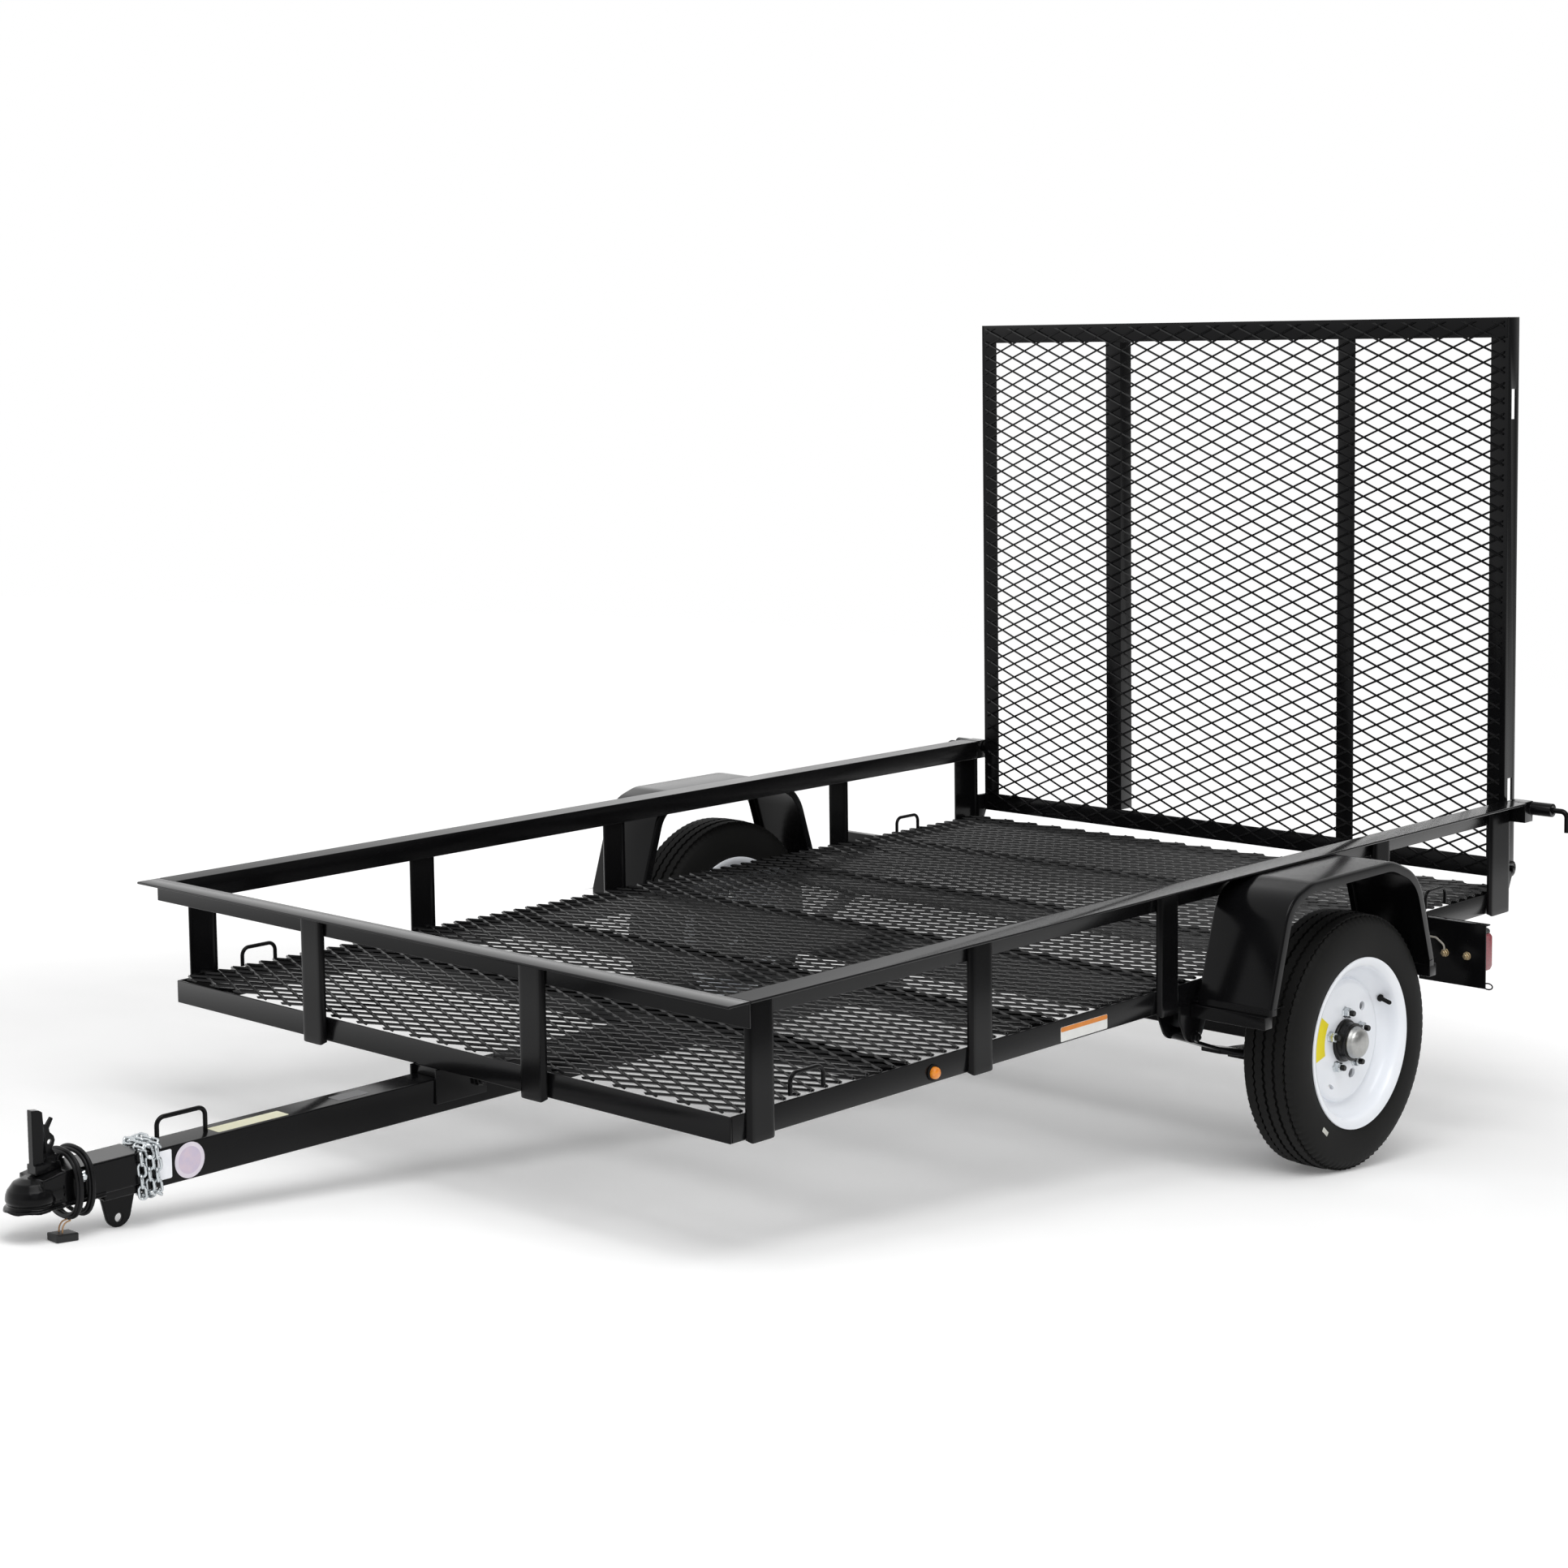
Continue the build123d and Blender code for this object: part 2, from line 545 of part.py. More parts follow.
for end in (-1, 1):
    eye_y = axle_y + end * SPRING_HALF
    hanger_foot = eye_z - SPRING_EYE_RADIUS
    plate = [(eye_y - HANGER_HALF, FRAME_BOTTOM), (eye_y - HANGER_HALF, hanger_foot + HANGER_CORNER),
             (eye_y - HANGER_FOOT_HALF, hanger_foot), (eye_y + HANGER_FOOT_HALF, hanger_foot),
             (eye_y + HANGER_HALF, hanger_foot + HANGER_CORNER), (eye_y + HANGER_HALF, FRAME_BOTTOM)]
    bridge = block(spring_x - cheek_half, spring_x + cheek_half, eye_y - HANGER_HALF, eye_y + HANGER_HALF,
                   FRAME_BOTTOM - HANGER_WALL, FRAME_BOTTOM)
    for face in (-cheek_half, cheek_half - HANGER_WALL):
        bridge = bridge.fuse(prism(plate, "X", spring_x + face, spring_x + face + HANGER_WALL))
    hangers.append(bridge.solid())
nodes["leaf_springs"] = [mirrored(side, spring) for _, side in LEFT_AND_RIGHT]
nodes["spring_hangers"] = [mirrored(side, hanger) for _, side in LEFT_AND_RIGHT for hanger in hangers]
nodes["axle_clamps"] = [mirrored(side, clamp) for _, side in LEFT_AND_RIGHT]

# Fenders are bent from one strip of sheet, with a turned-down lip on both edges, and stand on
# their braces.
fender_top = RAIL_TOP - FENDER_BELOW_RAIL
fender_foot = FRAME_BOTTOM + FENDER_FOOT_RISE
fender_outline = [(fender_front, fender_foot), (axle_y - FENDER_KNEE[0], fender_top - FENDER_KNEE_DROP[0]),
                  (axle_y - FENDER_FLAT[0], fender_top), (axle_y + FENDER_FLAT[1], fender_top),
                  (axle_y + FENDER_KNEE[1], fender_top - FENDER_KNEE_DROP[1]), (fender_rear, fender_foot)]


def inside_fender(depth):
    """The fender's outline set in by a depth, square to the sheet at each bend."""
    line = []
    for i, (y, z) in enumerate(fender_outline):
        before = fender_outline[max(i - 1, 0)]
        after = fender_outline[min(i + 1, len(fender_outline) - 1)]
        length = hypot(after[0] - before[0], after[1] - before[1])
        line.append((y + depth * (after[1] - before[1]) / length, z - depth * (after[0] - before[0]) / length))
    return line


skin = prism(fender_outline + inside_fender(FENDER_WALL)[::-1], "X", post_face, fender_outer)
lips = [prism(fender_outline + inside_fender(FENDER_LIP)[::-1], "X", a, a + FENDER_WALL)
        for a in (post_face, fender_outer - FENDER_WALL)]
feet = [block(post_face, fender_outer, y, y + FENDER_WALL, FRAME_BOTTOM, fender_foot + FENDER_WALL)
        for y in (fender_front, fender_rear - FENDER_WALL)]
fender = skin.fuse(*lips, *feet).solid()
for name, side in LEFT_AND_RIGHT:
    nodes[f"fender_{name}"] = [mirrored(side, fender)]

# Two braces run out under each fender's ends, the front one from the spring hanger and the rear
# one from under the side rail.
brace_bottom = FRAME_BOTTOM - BRACE_SIZE
braces = []
for _, side in LEFT_AND_RIGHT:
    for x, y in ((spring_x + cheek_half, fender_front - BRACE_AHEAD),
                 (shelf_half, fender_rear - BRACE_AHEAD)):
        bar = block(x, fender_outer - BRACE_SHORT, y, y + BRACE_SIZE, brace_bottom, FRAME_BOTTOM)
        braces.append(mirrored(side, bar))
nodes["fender_braces"] = braces

# Wheels: tyre, painted rim, hub and its cap turn together on the spindle. Profiles run as
# (radius, place along the axle), from the inner side of the wheel to the outer.
m = tyre_middle
w = TYRE_WIDTH / 2
bead = TYRE_BEAD_RADIUS
tyre_profile = [(bead, m - w + 12), (bead + 20, m - w + 5), (TYRE_RADIUS - 48, m - w), (TYRE_RADIUS - 16, m - w + 6),
                (TYRE_RADIUS - 3, m - w + 18), (TYRE_RADIUS, m), (TYRE_RADIUS - 3, m + w - 18),
                (TYRE_RADIUS - 16, m + w - 6), (TYRE_RADIUS - 48, m + w), (bead + 20, m + w - 5), (bead, m + w - 12)]
barrel = bead - RUNNING_GAP
well = barrel - RIM_WALL
edge = bead + RIM_EDGE
inner_face = m - w + 1
outer_face = m + w - 1
disc = m + DISC_DISH
disc_edge = disc - DISC_STEP
rim_profile = [(HUB_RADIUS + RUNNING_GAP, disc), (DISC_RING_RADIUS, disc), (DISC_RING_RADIUS + 30, disc_edge),
               (well, disc_edge), (well, inner_face), (edge, inner_face), (edge, inner_face + RIM_WALL),
               (barrel, inner_face + RIM_WALL), (barrel, outer_face - RIM_WALL), (edge, outer_face - RIM_WALL),
               (edge, outer_face), (well, outer_face), (well, disc_edge + DISC_WALL),
               (DISC_RING_RADIUS + 30, disc_edge + DISC_WALL), (DISC_RING_RADIUS, disc + DISC_WALL),
               (HUB_RADIUS + RUNNING_GAP, disc + DISC_WALL)]
hub_bore = SPINDLE_RADIUS + RUNNING_GAP
hub_profile = [(hub_bore, hub_start), (HUB_RADIUS + 8, hub_start), (HUB_RADIUS + 8, disc - HUB_FLANGE),
               (HUB_FLANGE_RADIUS, disc - HUB_FLANGE), (HUB_FLANGE_RADIUS, disc), (HUB_RADIUS, disc),
               (HUB_RADIUS, hub_end), (hub_bore, hub_end)]
cap_profile = [(0, hub_end), (CAP_RADIUS, hub_end), (CAP_RADIUS, hub_end + 0.45 * CAP_LENGTH),
               (0.8 * CAP_RADIUS, hub_end + 0.82 * CAP_LENGTH), (0.4 * CAP_RADIUS, hub_end + CAP_LENGTH),
               (0, hub_end + CAP_LENGTH)]
wheel = {"tyre": tyre_profile, "rim": rim_profile, "hub": hub_profile, "hub_cap": cap_profile}
for piece, profile in wheel.items():
    for name, side in LEFT_AND_RIGHT:
        nodes[f"{piece}_{name}"] = [mirrored(side, turned(profile, "X", axle_y, axle_z))]

# The ramp gate: angle frame, two uprights between, and mesh on its front face.
half_gate = half_bed - GATE_SIDE_GAP
gate_inside = half_gate - GATE_WALL
top_section = angle((gate_face, gate_top), GATE_LEG, -GATE_LEG, GATE_WALL)
bottom_section = angle((gate_face, gate_bottom), GATE_LEG, GATE_LEG, GATE_WALL)
nodes["gate_top_bar"] = [prism(top_section, "X", -gate_inside, gate_inside)]
nodes["gate_bottom_bar"] = [prism(bottom_section, "X", -gate_inside, gate_inside)]
slot_y = gate_face + GATE_SLOT_INSET
leg_plate = [(gate_face, gate_bottom), (gate_face + GATE_LEG, gate_bottom), (gate_face + GATE_LEG, gate_top),
             (gate_face, gate_top)]
slots = []
for slot_rise in GATE_SLOT_RISES:
    z0 = gate_bottom + slot_rise - GATE_SLOT_LENGTH / 2
    z1 = z0 + GATE_SLOT_LENGTH
    slots.append([(slot_y, z0), (slot_y + GATE_SLOT_WIDTH, z0), (slot_y + GATE_SLOT_WIDTH, z1), (slot_y, z1)])
leg = prism(leg_plate, "X", gate_inside, half_gate, slots)
web = block(half_gate - GATE_LEG, gate_inside, gate_face, gate_face + GATE_WALL, gate_bottom + GATE_LEG,
            gate_top - GATE_LEG)
end_upright = leg.fuse(web).solid()
mid_section = angle((GATE_MID_PLACE - GATE_LEG / 2, gate_face), GATE_LEG, GATE_LEG, GATE_WALL)
mid_upright = prism(mid_section, "Z", gate_bottom + GATE_LEG, gate_top - GATE_LEG)
nodes["gate_uprights"] = [mirrored(side, piece) for _, side in LEFT_AND_RIGHT for piece in (end_upright, mid_upright)]
mesh_bottom = gate_bottom + GATE_MESH_RISE
mesh_height = GATE_HEIGHT - 2 * GATE_MESH_RISE
gate_sheet = expanded_metal(2 * (half_gate - GATE_MESH_INSET), mesh_height, GATE_STRAND,
                            lambda a, b: (a, gate_face, mesh_bottom + b))
nodes["gate_mesh"] = [Solid.extrude(gate_sheet, Vector(0, -GATE_MESH_THICK, 0))]

# The gate turns on pins in two rounded lugs that stand back from the rear corners of the frame.
lug_inner = half_gate + GATE_GAP
lug_outer = lug_inner + LUG_WALL
lug_end = [radians(90 - 22.5 * i) for i in range(9)]
lug_outline = [(BED_LENGTH, FRAME_BOTTOM), (BED_LENGTH, pivot_z + LUG_RADIUS)]
lug_outline += [(pivot_y + LUG_RADIUS * cos(a), pivot_z + LUG_RADIUS * sin(a)) for a in lug_end]
lug = prism(lug_outline, "X", lug_inner, lug_outer)
lug = lug.cut(rod("X", pivot_y, pivot_z, PIVOT_RADIUS + RUNNING_GAP, lug_inner - 1, lug_outer + 1)).solid()
pin = rod("X", pivot_y, pivot_z, PIVOT_RADIUS, half_gate, lug_outer + PIN_HEAD)
nodes["gate_lugs"] = [mirrored(side, lug) for _, side in LEFT_AND_RIGHT]
nodes["gate_hinge_pins"] = [mirrored(side, pin) for _, side in LEFT_AND_RIGHT]

# Latches: a tube at each rail's rear end and a bent pin drawn back out of the gate's slot.
latch_y = slot_y + GATE_SLOT_WIDTH / 2
latch_z = RAIL_TOP - LATCH_DROP_FROM_RAIL
latch_start = half_gate + GATE_GAP + 1
latch_end = latch_start + LATCH_LENGTH
pin_end = latch_end + LATCH_REACH
latch_tube = rod("X", latch_y, latch_z, LATCH_RADIUS, latch_start, latch_end)
latch_bore = rod("X", latch_y, latch_z, LATCH_PIN_RADIUS + RUNNING_GAP, latch_start - 1, latch_end + 1)
latch_arm = block(half_bed, half_bed + LATCH_ARM_WIDTH, BED_LENGTH + REAR_POST_PROUD, latch_y,
                  RAIL_TOP - LATCH_ARM_HEIGHT, RAIL_TOP)
latch_root = block(half_bed, half_bed + LATCH_ARM_WIDTH, BED_LENGTH, BED_LENGTH + REAR_POST_PROUD, post_top, RAIL_TOP)
latch_housing = latch_tube.fuse(latch_arm, latch_root).cut(latch_bore).solid()
latch_path = [(latch_start, latch_y, latch_z), (pin_end, latch_y, latch_z), (pin_end, latch_y, latch_z - LATCH_HANG)]
latch_pin = bent_rod(latch_path, LATCH_BEND, 2 * LATCH_PIN_RADIUS)
nodes["latch_housings"] = [mirrored(side, latch_housing) for _, side in LEFT_AND_RIGHT]
nodes["latch_pins"] = [mirrored(side, latch_pin) for _, side in LEFT_AND_RIGHT]

# Tail lamps on plates that stand out from the side rails behind the fenders, their top edge bent
# back over the lamp: a body with a cap, and a red lens. Round amber markers sit on the rails.
plate_outer = fender_outer - LAMP_PLATE_SHORT
plate_y = fender_rear + LAMP_PLATE_BEHIND
plate_back = plate_y + LAMP_PLATE_WALL
plate_top = frame_top - LAMP_PLATE_BELOW
plate_bottom = plate_top - LAMP_PLATE_HEIGHT
plate_section = [(plate_y, plate_bottom), (plate_back, plate_bottom), (plate_back, plate_top - LAMP_PLATE_WALL),
                 (plate_y + LAMP_FLANGE, plate_top - LAMP_PLATE_WALL), (plate_y + LAMP_FLANGE, plate_top),
                 (plate_y, plate_top)]
lamp_plate = prism(plate_section, "X", half_bed, plate_outer)
lamp_outer = plate_outer - LAMP_INSET
lamp_inner = lamp_outer - LAMP_WIDTH
lamp_bottom = plate_bottom + LAMP_RISE
lamp_top = lamp_bottom + LAMP_HEIGHT
lamp_front = plate_back + LAMP_BODY_DEPTH
lamp_rear = lamp_front + LAMP_LENS_DEPTH
c = LAMP_CHAMFER
cap_top = lamp_top + LAMP_CAP_HEIGHT
body_outline = [(plate_back, lamp_bottom + c), (plate_back + c, lamp_bottom), (lamp_front, lamp_bottom),
                (lamp_front, lamp_top), (lamp_rear - c, lamp_top), (lamp_rear - 1.5 * c, cap_top - c), (lamp_front, cap_top),
                (plate_back, cap_top)]
lens_outline = [(lamp_front, lamp_bottom), (lamp_rear - c, lamp_bottom), (lamp_rear, lamp_bottom + c),
                (lamp_rear, lamp_top - c), (lamp_rear - c, lamp_top), (lamp_front, lamp_top)]
lamp_body = prism(body_outline, "X", lamp_inner, lamp_outer)
lamp_lens = prism(lens_outline, "X", lamp_inner, lamp_outer)
marker_z = FRAME_BOTTOM + MARKER_RISE
marker = rod("X", MARKER_PLACE, marker_z, MARKER_RADIUS, half_bed, half_bed + MARKER_DEPTH)
fittings = {"lamp_plates": lamp_plate, "lamp_housings": lamp_body, "lamp_lenses": lamp_lens, "side_markers": marker}
for name, fitting in fittings.items():
    nodes[name] = [mirrored(side, fitting) for _, side in LEFT_AND_RIGHT]

# Tie-down loops are bent rods welded to the inner face of the side rails.
loops = []
tie_x = half_bed - FRAME_WALL - TIE_ROD / 2
tie_half = TIE_LENGTH / 2
tie_top = frame_top + TIE_RISE
for place in (TIE_FROM_FRONT, BED_LENGTH - TIE_FROM_REAR):
    points = [(tie_x, place - tie_half, deck_top), (tie_x, place - tie_half, tie_top),
              (tie_x, place + tie_half, tie_top), (tie_x, place + tie_half, deck_top)]
    loops.append(bent_rod(points, TIE_BEND, TIE_ROD))
nodes["tie_down_loops"] = [mirrored(side, loop) for _, side in LEFT_AND_RIGHT for loop in loops]


# The trailer stands nose-down: its tyres and its chain plate touch the floor together.
def stand_angle():
    """The tilt at which the chain plate's lowest corner reaches the tyres' floor."""
    needed = []
    for y, z in foot_outline[1:-1]:
        dy, dz = y - axle_y, z - axle_z
        needed.append(asin(TYRE_RADIUS / hypot(dy, dz)) + atan2(dz, -dy))
    return degrees(min(needed))


tilt = stand_angle()


def floor_at(y):
    """The floor's height under a place of the level frame, once the trailer is set down."""
    a = radians(tilt)
    return (axle_z * cos(a) + (axle_y - y) * sin(a) - TYRE_RADIUS) / cos(a)


# The wiring harness leaves the tongue's open end, is wound in a coil round the coupler's neck, and
# ends in two wires to a flat plug on the floor. The coil is one solid of its outer shape.
coil_y = TONGUE_FRONT - COIL_AHEAD
coil_front = coil_y - COIL_LENGTH / 2
coil_rear = coil_y + COIL_LENGTH / 2
coil_side = coupler_half + LIP_WIDTH + COIL_SIDE_GAP
coil_top = coupler_top + COIL_TOP_RISE
coil_bottom = tongue_bottom - COIL_SAG
rest = coupler_half - COIL_SHOULDER


def coil_ring(out):
    """The coil's outline set out by a distance: eight corners as (x, z)."""
    side, top, bottom = coil_side + out, coil_top + out, coil_bottom - out
    near = rest + out / 2
    waist = coupler_top - COIL_SHOULDER + out / 2
    below = coil_bottom + COIL_CORNER - out / 2
    return [(side, below), (side, waist), (near, top), (-near, top), (-side, waist), (-side, below),
            (-side + COIL_CORNER, bottom), (side - COIL_CORNER, bottom)]


coil = prism(coil_ring(COIL_THICK), "Y", coil_front, coil_rear, [coil_ring(0)])
loom_path = [(0, TONGUE_FRONT + 1, tongue_middle - 14), (0, TONGUE_FRONT - 16, tongue_middle - 16),
             (0, TONGUE_FRONT - 32, tongue_middle - 24), (0, coil_y + 3, coil_bottom + RUNNING_GAP)]
nodes["harness_loom"] = [coil, bent_rod(loom_path, LOOM_BENDS, LOOM_DIAMETER)]
plug_y0 = coil_front - PLUG_AHEAD
plug_y1 = plug_y0 + PLUG_LENGTH
plug_x = PLUG_PLACE
plug_line = [(y, floor_at(y) + FLOOR_CLEARANCE + up) for y, up in
             ((plug_y0, 0), (plug_y1, 0), (plug_y1, PLUG_THICK), (plug_y0, PLUG_THICK))]
nodes["harness_plug"] = [prism(plug_line, "X", plug_x - PLUG_WIDTH / 2, plug_x + PLUG_WIDTH / 2)]
wires = []
for x in (plug_x - WIRE_SPREAD, plug_x + WIRE_SPREAD):
    out = coil_bottom - COIL_THICK / 2
    drop = coil_front - WIRE_OUT
    plug_top = floor_at(drop) + FLOOR_CLEARANCE + PLUG_THICK + RUNNING_GAP
    wire_path = [(x, coil_front - RUNNING_GAP, out), (x, coil_front - 0.6 * WIRE_OUT, out - 1),
                 (x, drop + 1, out - 8), (x, drop, plug_top)]
    wires.append(bent_rod(wire_path, WIRE_BENDS, WIRE_DIAMETER))
nodes["harness_wires"] = wires

turn = Location((0, 0, 0), (tilt, 0, 0))
shapes = {}
for name, solids in nodes.items():
    shapes[name] = Compound(children=[solid.moved(turn) for solid in solids])
boxes = [shape.bounding_box() for shape in shapes.values()]
low_x, high_x = min(b.min.X for b in boxes), max(b.max.X for b in boxes)
low_y, high_y = min(b.min.Y for b in boxes), max(b.max.Y for b in boxes)
low_z, high_z = min(b.min.Z for b in boxes), max(b.max.Z for b in boxes)
shift = Vector(-(low_x + high_x) / 2, -(low_y + high_y) / 2, -low_z)


def stood(y, z):
    """Where a point of the level frame comes to lie, as (y, z)."""
    a = radians(tilt)
    return y * cos(a) - z * sin(a) + shift.Y, y * sin(a) + z * cos(a) + shift.Z


def gate_travel():
    """How far the gate swings down before its top edge is just clear of the floor."""
    _, z = stood(pivot_y, pivot_z)
    travel = 180.0
    for y in (gate_face - GATE_MESH_THICK, gate_face + GATE_LEG):
        dy, dz = y - pivot_y, gate_top - pivot_z
        lean = degrees(atan2(-dy, dz)) + tilt
        travel = min(travel, lean + 90 + degrees(asin((z - FLOOR_GAP) / hypot(dy, dz))))
    return travel


os.makedirs("parts", exist_ok=True)
for name, shape in shapes.items():
    export_step(shape.moved(Location(shift)), f"parts/{name}.step")

print("tilt_deg", round(tilt, 5))
print("shift", round(shift.X, 4), round(shift.Y, 4), round(shift.Z, 4))
print("pivot", *[round(value, 4) for value in stood(pivot_y, pivot_z)])
print("axle", *[round(value, 4) for value in stood(axle_y, axle_z)])
print("gate_travel", round(gate_travel(), 3))
print("overall", round(high_x - low_x, 2), round(high_y - low_y, 2), round(high_z - low_z, 2))
print("harness", round(coil_front, 2), round(coil_bottom, 2), round(floor_at(plug_y0), 2), round(plug_top, 2))
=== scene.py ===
import json
import math
import bmesh
import bpy
from mathutils import Matrix, Vector

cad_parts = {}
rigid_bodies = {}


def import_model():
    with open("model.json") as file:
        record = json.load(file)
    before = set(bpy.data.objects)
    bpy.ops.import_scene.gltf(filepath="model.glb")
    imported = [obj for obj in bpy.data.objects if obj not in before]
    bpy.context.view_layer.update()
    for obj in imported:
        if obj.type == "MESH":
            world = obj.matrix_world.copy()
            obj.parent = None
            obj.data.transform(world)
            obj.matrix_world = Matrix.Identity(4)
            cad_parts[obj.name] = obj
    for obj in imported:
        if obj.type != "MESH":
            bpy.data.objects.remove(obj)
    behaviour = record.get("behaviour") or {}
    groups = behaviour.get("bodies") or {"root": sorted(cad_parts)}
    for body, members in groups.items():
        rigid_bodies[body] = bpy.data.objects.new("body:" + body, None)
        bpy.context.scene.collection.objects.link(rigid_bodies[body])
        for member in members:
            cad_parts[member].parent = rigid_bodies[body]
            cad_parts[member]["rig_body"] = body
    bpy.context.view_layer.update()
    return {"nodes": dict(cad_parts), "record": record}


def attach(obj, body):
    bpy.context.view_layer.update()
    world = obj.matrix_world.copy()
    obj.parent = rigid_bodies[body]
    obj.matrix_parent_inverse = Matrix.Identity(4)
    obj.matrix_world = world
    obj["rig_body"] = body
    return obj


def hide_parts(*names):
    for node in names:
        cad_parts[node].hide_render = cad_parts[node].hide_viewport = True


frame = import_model()

# How the trailer stands: with no jack it is nose-down, and its front rail's top gives the slope.
# Pieces below are drawn level, in mm, x to its left and y to the rear from the bed's front face,
# z up from the road, and this one matrix sets them down on the slope.
front_rail = {mount["name"]: mount for mount in frame["record"]["mounts"]}["rail_top_front"]
front_rail_level = Vector((0, -0.0254, 0.615))
slope = math.atan2(-front_rail["axis"][1], front_rail["axis"][2])
lean = Matrix.Rotation(slope, 4, "X")
level_place = Matrix.Translation(Vector(front_rail["pos_m"]) - lean @ front_rail_level)
set_down = level_place @ lean @ Matrix.Scale(0.001, 4)

# The view: a long lens from the trailer's front left, a little above the top rail, with its
# middle and focal length in pixels of the photograph's square frame.
frame_px, focal_px, middle_px = 1932, 3499.114, (976.486, 748.732)
eye = Vector((3892.834, -3160.150, 1654.58))
heading, height_angle, roll = (math.radians(a) for a in (43.30835, 5.37985, 0.737935))
back = Vector((math.sin(heading) * math.cos(height_angle), -math.cos(heading) * math.cos(height_angle),
               math.sin(height_angle)))
right = Vector((math.cos(heading), math.sin(heading), 0))
up = back.cross(right)
right, up = right * math.cos(roll) - up * math.sin(roll), right * math.sin(roll) + up * math.cos(roll)
lens = bpy.data.cameras.new("view")
lens.lens = focal_px * lens.sensor_width / frame_px
lens.shift_x = (frame_px / 2 - middle_px[0]) / frame_px
lens.shift_y = (middle_px[1] - frame_px / 2) / frame_px
lens.clip_end = 200
camera = bpy.data.objects.new("view", lens)
camera.matrix_world = (Matrix.Translation(set_down @ eye) @ lean
                       @ Matrix((right, up, back)).transposed().to_4x4())
bpy.context.scene.collection.objects.link(camera)
bpy.context.scene.camera = camera
bpy.context.scene.view_settings.view_transform = "Standard"


# Studio: a seamless white floor in a white room. Floor and room show white to the camera and in
# reflections, and light the object at a plain level.
def add(tree, kind, sockets=None, **settings):
    """Adds a node with its settings; a socket is given a value or the output that feeds it."""
    node = tree.nodes.new(kind)
    for name, value in settings.items():
        setattr(node, name, value)
    for name, value in (sockets or {}).items():
        if isinstance(value, bpy.types.NodeSocket):
            tree.links.new(value, node.inputs[name])
        else:
            node.inputs[name].default_value = value
    return node


def seen_directly(tree):
    """1 where the camera, a reflection or clear plastic looks at a surface, otherwise 0."""
    rays = add(tree, "ShaderNodeLightPath").outputs
    either = add(tree, "ShaderNodeMath", {0: rays["Is Camera Ray"], 1: rays["Is Glossy Ray"]},
                 operation="MAXIMUM")
    return add(tree, "ShaderNodeMath", {0: either.outputs[0], 1: rays["Is Transmission Ray"]},
               operation="MAXIMUM").outputs[0]


world = bpy.data.worlds.new("white_room")
bpy.context.scene.world = world
world.use_nodes = True
room = world.node_tree
level = add(room, "ShaderNodeMapRange", {"Value": seen_directly(room), "To Min": 0.55, "To Max": 1.0})
# Towards the trailer's left side the room is dimmed for reflections alone: a painted dark reflection that its
# outer faces show, with nothing there to cast it.
side_on = add(room, "ShaderNodeSeparateXYZ", {0: add(room, "ShaderNodeTexCoord").outputs["Generated"]})
dark_reflection_side = add(room, "ShaderNodeMapRange", {"Value": side_on.outputs["X"], "From Min": 0.1, "From Max": 0.7,
                                           "To Max": 0.75})
glossy = add(room, "ShaderNodeLightPath").outputs["Is Glossy Ray"]
dimmed = add(room, "ShaderNodeMath", {0: glossy, 1: dark_reflection_side.outputs["Result"]}, operation="MULTIPLY")
strength = add(room, "ShaderNodeMath", {0: level.outputs["Result"], 1: dimmed.outputs[0]},
               operation="SUBTRACT")
room.nodes["Background"].inputs["Color"].default_value = (1, 1, 1, 1)
room.links.new(strength.outputs[0], room.nodes["Background"].inputs["Strength"])


def srgb(code):
    """A colour written as sRGB hex, as the linear values that the shaders take."""
    parts = [int(code[i:i + 2], 16) / 255 for i in (0, 2, 4)]
    return [p / 12.92 if p <= 0.04045 else ((p + 0.055) / 1.055) ** 2.4 for p in parts] + [1.0]


def finish(name, one_tone, other_tone, per_metre, detail=2.0, cells=False, **values):
    """A material with one Principled shader whose colour drifts between two tones, in soft patches or
    from cell to cell."""
    material = bpy.data.materials.new(name)
    material.use_nodes = True
    tree = material.node_tree
    shader = tree.nodes["Principled BSDF"]
    for key, value in values.items():
        shader.inputs[key.replace("_", " ")].default_value = value
    place = add(tree, "ShaderNodeTexCoord").outputs["Object"]
    if cells:
        pattern = add(tree, "ShaderNodeTexVoronoi", {"Vector": place, "Scale": per_metre}).outputs["Distance"]
    else:
        pattern = add(tree, "ShaderNodeTexNoise", {"Vector": place, "Scale": per_metre,
                                                   "Detail": detail}).outputs["Fac"]
    tone = add(tree, "ShaderNodeMix", {"Factor": pattern, "A": srgb(one_tone), "B": srgb(other_tone)},
               data_type="RGBA")
    tree.links.new(tone.outputs["Result"], shader.inputs["Base Color"])
    return material, tree, shader, place, pattern


# Rolled paint: its tone drifts a little over hand-wide patches. It glows to the camera and in reflections,
# faintly within 1.6 m of its middle under the trailer and brighter out to 3.6 m, where it reaches the room's
# white: painted light, which leaves painted shade on the floor round and under the trailer.
floor_paint, tree, shader, place, _ = finish("white_studio_floor", "F8F8F8", "FFFFFF", 6.0, 3.0,
                                             Roughness=0.9, Specular_IOR_Level=0.1)
shader.inputs["Emission Color"].default_value = (1, 1, 1, 1)
away = add(tree, "ShaderNodeVectorMath", {0: place}, operation="LENGTH").outputs["Value"]
painted_floor_glow = add(tree, "ShaderNodeMapRange", {"Value": away, "From Min": 1.6, "From Max": 3.6, "To Min": 0.12,
                                        "To Max": 0.5}, interpolation_type="SMOOTHSTEP")
lift = add(tree, "ShaderNodeMath", {0: seen_directly(tree), 1: painted_floor_glow.outputs["Result"]}, operation="MULTIPLY")
tree.links.new(lift.outputs[0], shader.inputs["Emission Strength"])
floor_mesh = bpy.data.meshes.new("floor")
floor_mesh.from_pydata([(-30, -30, 0), (30, -30, 0), (30, 30, 0), (-30, 30, 0)], [], [(0, 1, 2, 3)])
floor_mesh.materials.append(floor_paint)
